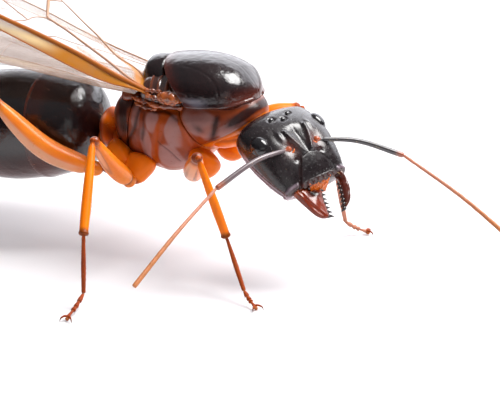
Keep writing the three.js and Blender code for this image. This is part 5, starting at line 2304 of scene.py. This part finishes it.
@dataclass
class Wings(Assembly):
    """The four wings, laid back over the gaster."""

    places: dict[str, tuple[Plan, Side, Place, float, float, float]] = field(
        default_factory=lambda: {
            "forewing_left": (FOREWING, Side.LEFT, (-0.62, 1.12, 4.92), 0.225, 0.075, 0.02),
            "forewing_right": (FOREWING, Side.RIGHT, (-0.62, -1.12, 5.08), 0.376, 0.09, 0.06),
            "hindwing_left": (HINDWING, Side.LEFT, (-1.15, 1.0, 4.84), 0.035, 0.1, 0.0),
            "hindwing_right": (HINDWING, Side.RIGHT, (-1.15, -1.0, 4.98), 0.125, 0.1, 0.0),
        }
    )
    film: float = 0.012

    @staticmethod
    def axes(side: Side, rise: float, splay: float, tilt: float) -> Array:
        """The wing's own axes as rows: out along it, inwards across it, and upwards.

        Args:
            side: The ant's side.
            rise: Its angle over the level.
            splay: Its angle out from the body.
            tilt: The angle of its chord.

        Returns:
            A square array.
        """
        back = unit(
            np.array([-math.cos(rise) * math.cos(splay), side.value * math.sin(splay), math.sin(rise)])
        )
        inward = np.array([0, -side.value * math.cos(tilt), math.sin(tilt)])
        inward = unit(inward - back * (inward @ back))
        up = np.cross(back, inward)
        return np.stack([back, inward, up if up[2] > 0 else -up])

    def build(self) -> None:
        """Makes and dresses the four wings."""
        for name, (plan, side, hinge, rise, splay, tilt) in self.places.items():
            axes = self.axes(side, rise, splay, tilt)
            fore = plan is FOREWING
            r = (1 - np.cos(np.linspace(0, math.pi, 241))) / 2 * 0.999 + 0.0005
            x, v = np.meshgrid(r * plan.length, np.linspace(0, 1, 61) ** 1.3, indexing="ij")
            front, rear = plan.edges(x[:, 0])
            y = front[:, None] + (rear - front)[:, None] * v
            z = plan.rise(x, y)
            film = np.stack([x, y, z], -1)
            strip = (
                fade(0.05, -0.01, y - plan.fold(x)) * profile(0.9, 1.0, 0.95, 0.6, 0.45, 0.4, 0.3).at(x / 9)
            )
            stigma = Patch((8.9, 0.0), (0.75, 0.16), 0, View.ABOVE).weight(film) if fore else 0 * x
            root = fade(1.6, 0.2, x)
            stain = sum((weight * line.weight(film) for line, weight in plan.stains), 0 * x)
            amber = np.clip(
                strip * plan.amber + stigma * plan.amber + 0.75 * root * fade(0.75, 0.3, y) + stain, 0, 1
            ) * (0.45 if side is Side.LEFT else 1.0)
            streak = np.exp(-(((y - plan.fold(x) + 0.16) / 0.1) ** 2)) * fade(2.7, 3.9, x) * plan.amber
            upper, lower = (film + np.array([0, 0, s * self.film / 2]) for s in (1, -1))
            tones = {Tone.AMBER: amber, Tone.PALE: streak}
            shell = pillow(self.carry(upper, axes, hinge), self.carry(lower, axes, hinge), tones)
            obj = shell.object(name + "_film")
            trails, radii = [], []
            slim = 0.35 if side is Side.LEFT else (1.0 if fore else 0.5)
            for spots, thick, thin in plan.veins:
                trail = Route(*spots).walk(np.linspace(0, 1, 60))[0]
                high = plan.rise(trail[:, 0], trail[:, 1])
                trails.append(self.carry(np.stack([trail[:, 0], trail[:, 1], high], -1), axes, hinge))
                radii.append(np.linspace(thick, thin, 60) * slim)
            veins = Growth.tubes(name + "_veins", trails, radii, Coat.VEIN)
            spot = np.empty(len(veins.data.vertices) * 3, np.float32)
            veins.data.vertices.foreach_get("co", spot)
            local = (spot.reshape(-1, 3) - np.asarray(hinge)) @ axes.T
            strong = fade(0.16, 0.08, local[:, 1] - plan.fold(local[:, 0])) + fade(1.0, 0.3, local[:, 0])
            paint(veins.data, Tone.GLOOM.value, np.clip(strong * plan.amber * (slim > 0.9), 0, 1))
            self.bench.settle(obj, "wing", name, coat=Coat.FOREWING if fore else Coat.HINDWING)
            self.bench.settle(veins, "wing")

    @staticmethod
    def carry(points: Array, axes: Array, hinge: Place) -> Array:
        """Places of the wing's plan in the ant's frame."""
        return points @ axes + np.asarray(hinge)


# ---------------------------------------------------------------- legs


@dataclass(frozen=True)
class LegSizes:
    """Thickness of a leg's limbs and its colours."""

    coxa: Profile
    femur: Profile
    tibia: Profile
    tarsus: Profile
    spur: float
    coxa_coat: Coat = Coat.ORANGE
    femur_coat: Coat = Coat.ORANGE


@dataclass
class Legs(Assembly):
    """The six legs: coxa, trochanter, femur, tibia with its spurs, five foot joints, and claws."""

    sizes: dict[str, LegSizes] = field(
        default_factory=lambda: {
            "front": LegSizes(
                profile(0.4, 0.5, 0.44, 0.26), profile(0.2, 0.28, 0.28, 0.23, 0.13),
                profile(0.09, 0.115, 0.135, 0.125), profile(0.045, 0.07, 0.06), 0.3,
                femur_coat=Coat.PALE_ORANGE,
            ),
            "middle": LegSizes(
                profile(0.42, 0.45, 0.35, 0.2), profile(0.2, 0.27, 0.25, 0.19, 0.11),
                profile(0.09, 0.13, 0.145, 0.13), profile(0.05, 0.07, 0.06), 0.34,
                femur_coat=Coat.PALE_ORANGE,
            ),
            "hind": LegSizes(
                profile(0.47, 0.51, 0.42, 0.24), profile(0.2, 0.31, 0.33, 0.26, 0.12),
                profile(0.09, 0.13, 0.145, 0.13), profile(0.05, 0.07, 0.06), 0.4, femur_coat=Coat.PALE_ORANGE,
            ),
        }
    )
    # Hip, trochanter, thigh's bow, knee, ankle, ball of the foot and toe.
    places: dict[str, tuple[Place, ...]] = field(
        default_factory=lambda: {
            "front_right": (
                (1.2, -0.68, 3.5), (0.82, -1.05, 2.86), (1.28, -1.95, 3.38), (1.9, -2.84, 4.14),
                (2.6, -2.41, 1.68), (3.45, -2.95, 0.4), (4.0, -3.25, 0),
            ),
            "front_left": (
                (1.2, 0.68, 3.5), (0.82, 1.05, 2.9), (1.62, 1.88, 3.9), (2.42, 2.5, 4.1), (3.6, 2.45, 2.3),
                (3.5, 3.3, 0.46), (4.05, 3.75, 0),
            ),
            "middle_right": (
                (-0.98, -0.72, 3.05), (-1.08, -1.34, 2.38), (-1.2, -2.3, 3.2), (-1.2, -3.36, 4.33),
                (-0.48, -5.2, 2.12), (-0.44, -5.3, 0.42), (-0.31, -6.47, 0),
            ),
            "middle_left": (
                (-0.98, 0.72, 3.05), (-1.08, 1.34, 2.4), (-1.15, 2.3, 3.3), (-1.14, 3.31, 4.35),
                (-0.1, 4.74, 1.96), (-0.38, 5.76, 0.5), (0.02, 6.4, 0),
            ),
            "hind_right": (
                (-1.5, -0.72, 3.2), (-2.12, -1.2, 2.52), (-3.55, -1.95, 3.18), (-5.05, -2.6, 4.75),
                (-6.9, -4.3, 2.05), (-7.7, -5.2, 0.42), (-9.3, -6.3, 0),
            ),
            "hind_left": (
                (-1.5, 0.72, 3.2), (-2.12, 1.25, 2.48), (-4.0, 2.1, 2.6), (-5.9, 2.8, 3.05), (-8.3, 4.3, 1.3),
                (-9.8, 5.3, 0.4), (-11.3, 6.2, 0),
            ),
        }
    )
    foot_shares: tuple[float, ...] = (0.3, 0.22, 0.17, 0.31)
    # How far the painted sheen along a thigh faces down.
    sheen_drops: tuple[tuple[str, float], ...] = (("front", 0.2), ("middle", -0.15), ("hind", 1.0))
    ground: float = 0.001

    @staticmethod
    def crossing(a: Place, b: Place) -> Place:
        """The level direction that crosses the way from a to b."""
        return tuple(unit(np.array([a[1] - b[1], b[0] - a[0], 0.0])))

    def limb(
        self, route: tuple[Place, ...], thick: Profile, up: Place, start: float = 0.05, end: float = 0.05,
        stations: int = 90, columns: int = 34,
    ) -> Skin:
        """A limb along a route."""
        return Loft(route, thick, start=start, end=end, up=up, stations=stations, columns=columns).skin()

    @staticmethod
    def sheen_stripe(skin: Skin, side: float, drop: float) -> Array:
        """A pale band of painted sheen along the outer face of a limb, which frays at both ends.

        Args:
            skin: The limb.
            side: 1 on the ant's left, -1 on its right.
            drop: How far the sheen faces down.

        Returns:
            The sheen's weight at each place.
        """
        facing = skin.normals() @ unit(np.array([0.12, side, -drop]))
        return fade(0.58, 0.74, facing) * (fade(0.05, 0.3, skin.share) * fade(1.0, 0.72, skin.share))[:, None]

    def foot(self, ankle: Place, ball: Place, toe: Place, thick: Profile) -> tuple[Shell, Shell]:
        """The five joints of a foot with claws and pad.

        Args:
            ankle: Where the shin ends.
            ball: Where the long first joint ends.
            toe: Where the claws meet the ground.
            thick: Thickness of the first joint.

        Returns:
            The joints, and the claws with their pad.
        """
        up = self.crossing(ball, toe)
        first = self.limb((ankle, ball), thick, up, 0.05, 0.03, 90, 24)
        first.mark(Tone.HAIR, 1.0)
        first.mark(Tone.SEAM, fade(0.97, 1.0, first.share))
        shells = [first.shell()]
        end = np.array([toe[0], toe[1], 0.12])
        start = np.asarray(ball)
        heading = unit(end - start)
        level = unit(np.array([heading[0], heading[1], 0.0]))
        knuckle = start + (end - start) * 0.45 - np.array([0, 0, 0.06])
        route = Route(start, knuckle, end - level * 0.1)
        run = 0.0
        for index, share in enumerate(self.foot_shares):
            a, b = (route.walk(np.array([s]))[0][0] for s in (run, run + share))
            run += share
            last = index == len(self.foot_shares) - 1
            shape = profile(0.032, 0.04, 0.056) if last else profile(0.04, 0.052, 0.068, 0.07)
            skin = self.limb((tuple(a), tuple(b + (b - a) * 0.08)), shape, up, 0.1, 0.08, 30, 20)
            skin.mark(Tone.HAIR, 1.0)
            skin.mark(Tone.SEAM, (1 - fade(0.0, 0.3, skin.share)) * 0.8)
            shells.append(skin.shell())
        return Shell.joined(shells), self.claws(end - level * 0.1, level)

    def claws(self, root: Array, level: Array) -> Shell:
        """The two claws at the end of a foot, and the pad between them.

        Args:
            root: Where they spring from.
            level: The way that the foot points, on the level.

        Returns:
            The claws and the pad, none of them below the ground.
        """
        across = np.cross(level, [0, 0, 1.0])
        skins = []
        for sign in (-1, 1):
            out = unit(level * 0.8 + across * sign * 0.75)
            drops = ((0.1, 0.03), (0.22, -0.01), (0.27, -0.105))
            bends = (root, *(root + out * far + [0, 0, drop] for far, drop in drops))
            hook = profile(0.036, 0.032, 0.022, 0.006)
            skin = self.limb(tuple(map(tuple, bends)), hook, (0, 0, 1.0), 0.1, 0.05, 40, 14)
            skins.append(skin.mark(Tone.GLOOM, fade(0.5, 1.0, skin.share)))
        ends = (tuple(root - [0, 0, 0.03]), tuple(root + level * 0.13 - [0, 0, 0.06]))
        skins.append(
            self.limb(ends, profile(0.05, 0.06), tuple(across), 0.4, 0.4, 24, 20).mark(Tone.SEAM, 1.0)
        )
        for skin in skins:
            skin.points[..., 2] = np.maximum(skin.points[..., 2], self.ground)
        return Shell.joined([skin.shell() for skin in skins])

    def spurs(self, ankle: Array, heading: Array, outward: Array, length: float) -> Shell:
        """The two spurs at the end of a shin, a long and a short one.

        Args:
            ankle: The shin's end.
            heading: The shin's way.
            outward: The way that the spurs splay.
            length: The long one's length.

        Returns:
            Both spurs.
        """
        shells = []
        for sign, size in ((1, 1.0), (-0.35, 0.6)):
            aim = unit(heading + outward * 0.35 * sign)
            base = ankle - heading * 0.06 + outward * 0.09 * sign
            tip = base + aim * length * size
            mid = (base + tip) / 2 + outward * 0.03 * sign
            skin = self.limb(
                (tuple(base), tuple(mid), tuple(tip)), profile(0.02, 0.018, 0.004),
                (0, 0, 1.0) if abs(aim[2]) < 0.9 else (1.0, 0, 0), 0.1, 0.05, 24, 10,
            )
            shells.append(skin.shell())
        return Shell.joined(shells)

    def coxa(self, size: LegSizes, route: tuple[Place, ...], up: Place) -> Skin:
        """The hip joint.

        Args:
            size: The leg's sizes.
            route: Its two ends.
            up: The direction of its section's upper side.

        Returns:
            The dressed skin.
        """
        skin = self.limb(route, size.coxa, up, 0.2, 0.25, 70, 50)
        skin.push(0.02 * np.sin(skin.points[..., 0] * 5 + skin.points[..., 2] * 3))
        skin.mark(Tone.SEAM, fade(0.82, 0.98, skin.share))
        return skin.mark(Tone.HAIR, 0.3)

    def femur(self, name: str, size: LegSizes, route: tuple[Place, ...], up: Place) -> Skin:
        """The thigh, with the ring at its root and its pale band of painted sheen.

        Args:
            name: The leg's name.
            size: The leg's sizes.
            route: Its root, its bow and the knee.
            up: The direction of its section's upper side.

        Returns:
            The dressed skin.
        """
        kind = name.split("_")[0]
        skin = self.limb(route, size.femur, up, 0.05, 0.04, 150, 48)
        far = skin.share
        skin.push(-0.045 * bump(far, 0.11, 0.03) + 0.02 * bump(far, 0.955, 0.03))
        skin.mark(Tone.SEAM, fade(0.86, 0.97, far) * 0.9)
        skin.mark(Tone.GLOOM, bump(far, 0.11, 0.02) * 0.6 + fade(0.97, 1.0, far) * 0.5)
        # Painted sheen: a pale band where the thigh's face turns a given way, with a darker edge beside it on
        # the front and middle thighs.
        band = self.sheen_stripe(skin, float(np.sign(route[-1][1])), dict(self.sheen_drops)[kind])
        skin.mark(Tone.PALE, band * 0.95)
        skin.mark(Tone.SEAM, bump(band, 0.35, 0.2) * (0.0 if kind == "hind" else 0.55))
        if name == "front_right":
            streaks = np.clip(np.cos(np.arange(48) * math.pi / 4), 0, 1)[None]
            skin.mark(Tone.SEAM, streaks * fade(0.9, 0.4, far)[:, None] * 0.6)
        return skin.mark(Tone.HAIR, 0.35)

    def tibia(self, size: LegSizes, knee: Array, ankle: Array, up: Place) -> Skin:
        """The shin, pinched under the knee and ringed at the ankle.

        Args:
            size: The leg's sizes.
            knee: Its upper end.
            ankle: Its lower end.
            up: The direction of its section's upper side.

        Returns:
            The dressed skin.
        """
        skin = self.limb((tuple(knee), tuple(ankle)), size.tibia, up, 0.03, 0.03, 120, 34)
        run = skin.share * np.linalg.norm(ankle - knee)
        left = float(run[-1]) - run
        skin.push(-0.03 * bump(run, 0.2, 0.07) + 0.02 * bump(left, 0.07, 0.05))
        skin.mark(Tone.GLOOM, fade(0.26, 0.1, left) * 0.8 + 0.7 * bump(run, 0.13, 0.04))
        skin.mark(Tone.SEAM, (1 - fade(0.1, 0.4, run)) * 0.8)
        return skin.mark(Tone.HAIR, 1.0)

    def build(self) -> None:
        """Makes and dresses the six legs."""
        for seed, (name, spots) in enumerate(self.places.items()):
            bow, knee, ankle, ball = (np.asarray(spot, float) for spot in spots[2:6])
            size = self.sizes[name.split("_")[0]]
            up = self.crossing(spots[0], spots[-1])
            coxa = self.coxa(size, spots[:2], up).shell().object("coxa_detail_" + name)
            thigh = self.femur(name, size, spots[1:4], up).shell().object("femur_detail_" + name)
            way = unit(ankle - knee)
            shin = self.tibia(size, knee - way * 0.03, ankle, up).shell().object("tibia_detail_" + name)
            outward = unit(np.cross(way, up))
            outward = outward if outward[2] < 0 else -outward
            joints, claws = self.foot(tuple(ankle - way * 0.02), spots[5], spots[6], size.tarsus)
            foot = joints.object("foot_" + name)
            spurs = self.spurs(ankle, way, outward, size.spur)
            down, along = tuple(unit(knee - bow)), tuple(unit(ball - ankle))
            hairs = (
                Growth.hairs(
                    "femur_hairs_" + name, thigh, 22.0, 0.09, 0.0036, Coat.HAIR, down, 0.75, 80 + seed
                ),
                Growth.hairs(
                    "tibia_hairs_" + name, shin, 34.0, 0.085, 0.0036, Coat.BRISTLE, tuple(way), 0.78,
                    90 + seed,
                ),
                Growth.hairs(
                    "foot_hairs_" + name, foot, 110.0, 0.075, 0.0034, Coat.BRISTLE, along, 0.7, 100 + seed
                ),
            )
            # Painted light: the front left leg, lit more fully, wears the orange and feeler finishes in place
            # of the pale orange and foot ones.
            lit = name == "front_left"
            settle = self.bench.settle
            settle(coxa, "orange_shell", "coxa_" + name, coat=size.coxa_coat)
            settle(thigh, "orange_shell", "femur_" + name, coat=Coat.ORANGE if lit else size.femur_coat)
            settle(shin, "orange_shell", "tibia_" + name, coat=Coat.ORANGE)
            settle(foot, "dark_tip", "tarsus_" + name, coat=Coat.FEELER if lit else Coat.FOOT)
            settle(claws.object("claws_" + name), "dark_tip", coat=Coat.FOOT)
            settle(spurs.object("spurs_" + name), "dark_tip", coat=Coat.FOOT)
            for piece, slot in zip(hairs, ("orange_shell", "orange_shell", "dark_tip")):
                settle(piece, slot)


# ---------------------------------------------------------------- studio


@dataclass
class Studio:
    """A plain pale floor, soft studio light and the camera."""

    target: Place = (1.84, 0.43, 1.78)
    eye: Place = (59.19, -107.43, 46.24)
    lens: float = 322.9
    floor_reach: float = 2.0
    # Each light: the direction it comes from, its distance, its two sizes, its power and its colour.
    lights: tuple[tuple[str, Place, float, Spot, float, Colour], ...] = (
        ("key_softbox", (0.42, 0.24, 0.88), 0.12, (0.066, 0.11), 0.3, (1.0, 0.99, 0.98)),
        ("overhead_panel", (-0.2, 0.84, 0.44), 0.17, (0.4, 0.15), 0.42, (0.96, 0.97, 1.03)),
        ("side_sheet", (0.75, -0.95, 0.35), 0.3, (0.34, 0.1), 0.05, (1.0, 0.99, 0.98)),
    )
    dome: float = 0.22

    def build(self, bench: Bench) -> None:
        """Makes the floor, the lights and the camera.

        Args:
            bench: Knows where the ant is in the row frame.
        """
        scene = bpy.context.scene
        scene.view_settings.view_transform = "Standard"
        mesh = bpy.data.meshes.new("floor")
        r = self.floor_reach
        mesh.from_pydata([(-r, -r, 0), (r, -r, 0), (r, r, 0), (-r, r, 0)], [], [(0, 1, 2, 3)])
        floor = linked("floor", mesh)
        mat = bpy.data.materials.new("floor_paper")
        mat.use_nodes = True
        Nodes(mat.node_tree).shade({
            "Base Color": (0.55, 0.545, 0.557, 1),
            "Roughness": 0.8,
            "IOR": 1.3,
            "Emission Color": (0.99, 0.965, 1.0, 1),
            "Emission Strength": 0.29,
        })
        mesh.materials.append(mat)
        world = bpy.data.worlds.new("studio")
        scene.world = world
        world.use_nodes = True
        n = Nodes(world.node_tree)
        way = n.add("ShaderNodeTexCoord").outputs["Generated"]
        height = n.add("ShaderNodeSeparateXYZ", {0: way}).outputs[2]
        ramp = n.add("ShaderNodeValToRGB", {0: height})
        stops = (
            (0.0, (0.2, 0.2, 0.21)), (0.25, (0.22, 0.22, 0.24)), (0.55, (0.8, 0.82, 0.87)),
            (1.0, (1.3, 1.32, 1.36)),
        )
        for index, (spot, shade) in enumerate(stops):
            stop = ramp.color_ramp.elements[index] if index < 2 else ramp.color_ramp.elements.new(spot)
            stop.position, stop.color = spot, (*shade, 1)
        glow = n.add("ShaderNodeBackground", {"Color": ramp.outputs[0], "Strength": self.dome})
        n.add("ShaderNodeOutputWorld", {"Surface": glow.outputs[0]})
        middle = bench.place((1.0, 0.0, 3.5))
        for name, aim, distance, size, power, shade in self.lights:
            self.lamp(name, middle + Vector(aim).normalized() * distance, middle, size, power, shade)
        data = bpy.data.cameras.new("camera")
        data.lens = self.lens
        data.sensor_width = 36.0
        data.clip_start = 0.001
        data.clip_end = 20.0
        camera = linked("camera", data)
        eye, target = bench.place(self.eye), bench.place(self.target)
        camera.location = eye
        camera.rotation_euler = (target - eye).to_track_quat("-Z", "Y").to_euler()
        scene.camera = camera

    @staticmethod
    def lamp(name: str, place: Vector, target: Vector, size: Spot, power: float, shade: Colour) -> None:
        """Adds an oval soft light that faces a place.

        Args:
            name: Its name.
            place: Where it hangs.
            target: What it faces.
            size: Its two widths.
            power: Its power in watts.
            shade: Its colour.
        """
        data = bpy.data.lights.new(name, "AREA")
        data.shape = "ELLIPSE"
        data.size, data.size_y = size
        data.energy = power
        data.color = shade
        lamp = linked(name, data)
        lamp.location = place
        lamp.rotation_euler = (target - place).to_track_quat("-Z", "Y").to_euler()


# ---------------------------------------------------------------- the ant


def main() -> None:
    """Builds the ant from head to tail, then the studio."""
    logging.basicConfig(level=logging.INFO, format="%(message)s")
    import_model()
    bench = Bench((MiddleBody.tegula[0], MiddleBody.tegula[2]))
    for assembly in (Head, Jaws, Feelers, MiddleBody, HindBody, Wings, Legs):
        LOG.info("-- %s", assembly.__name__)
        assembly(bench).build()
    Studio().build(bench)
    LOG.info("%d pieces, %d triangles", bench.pieces, bench.triangles)


if __name__ == "__main__":
    main()
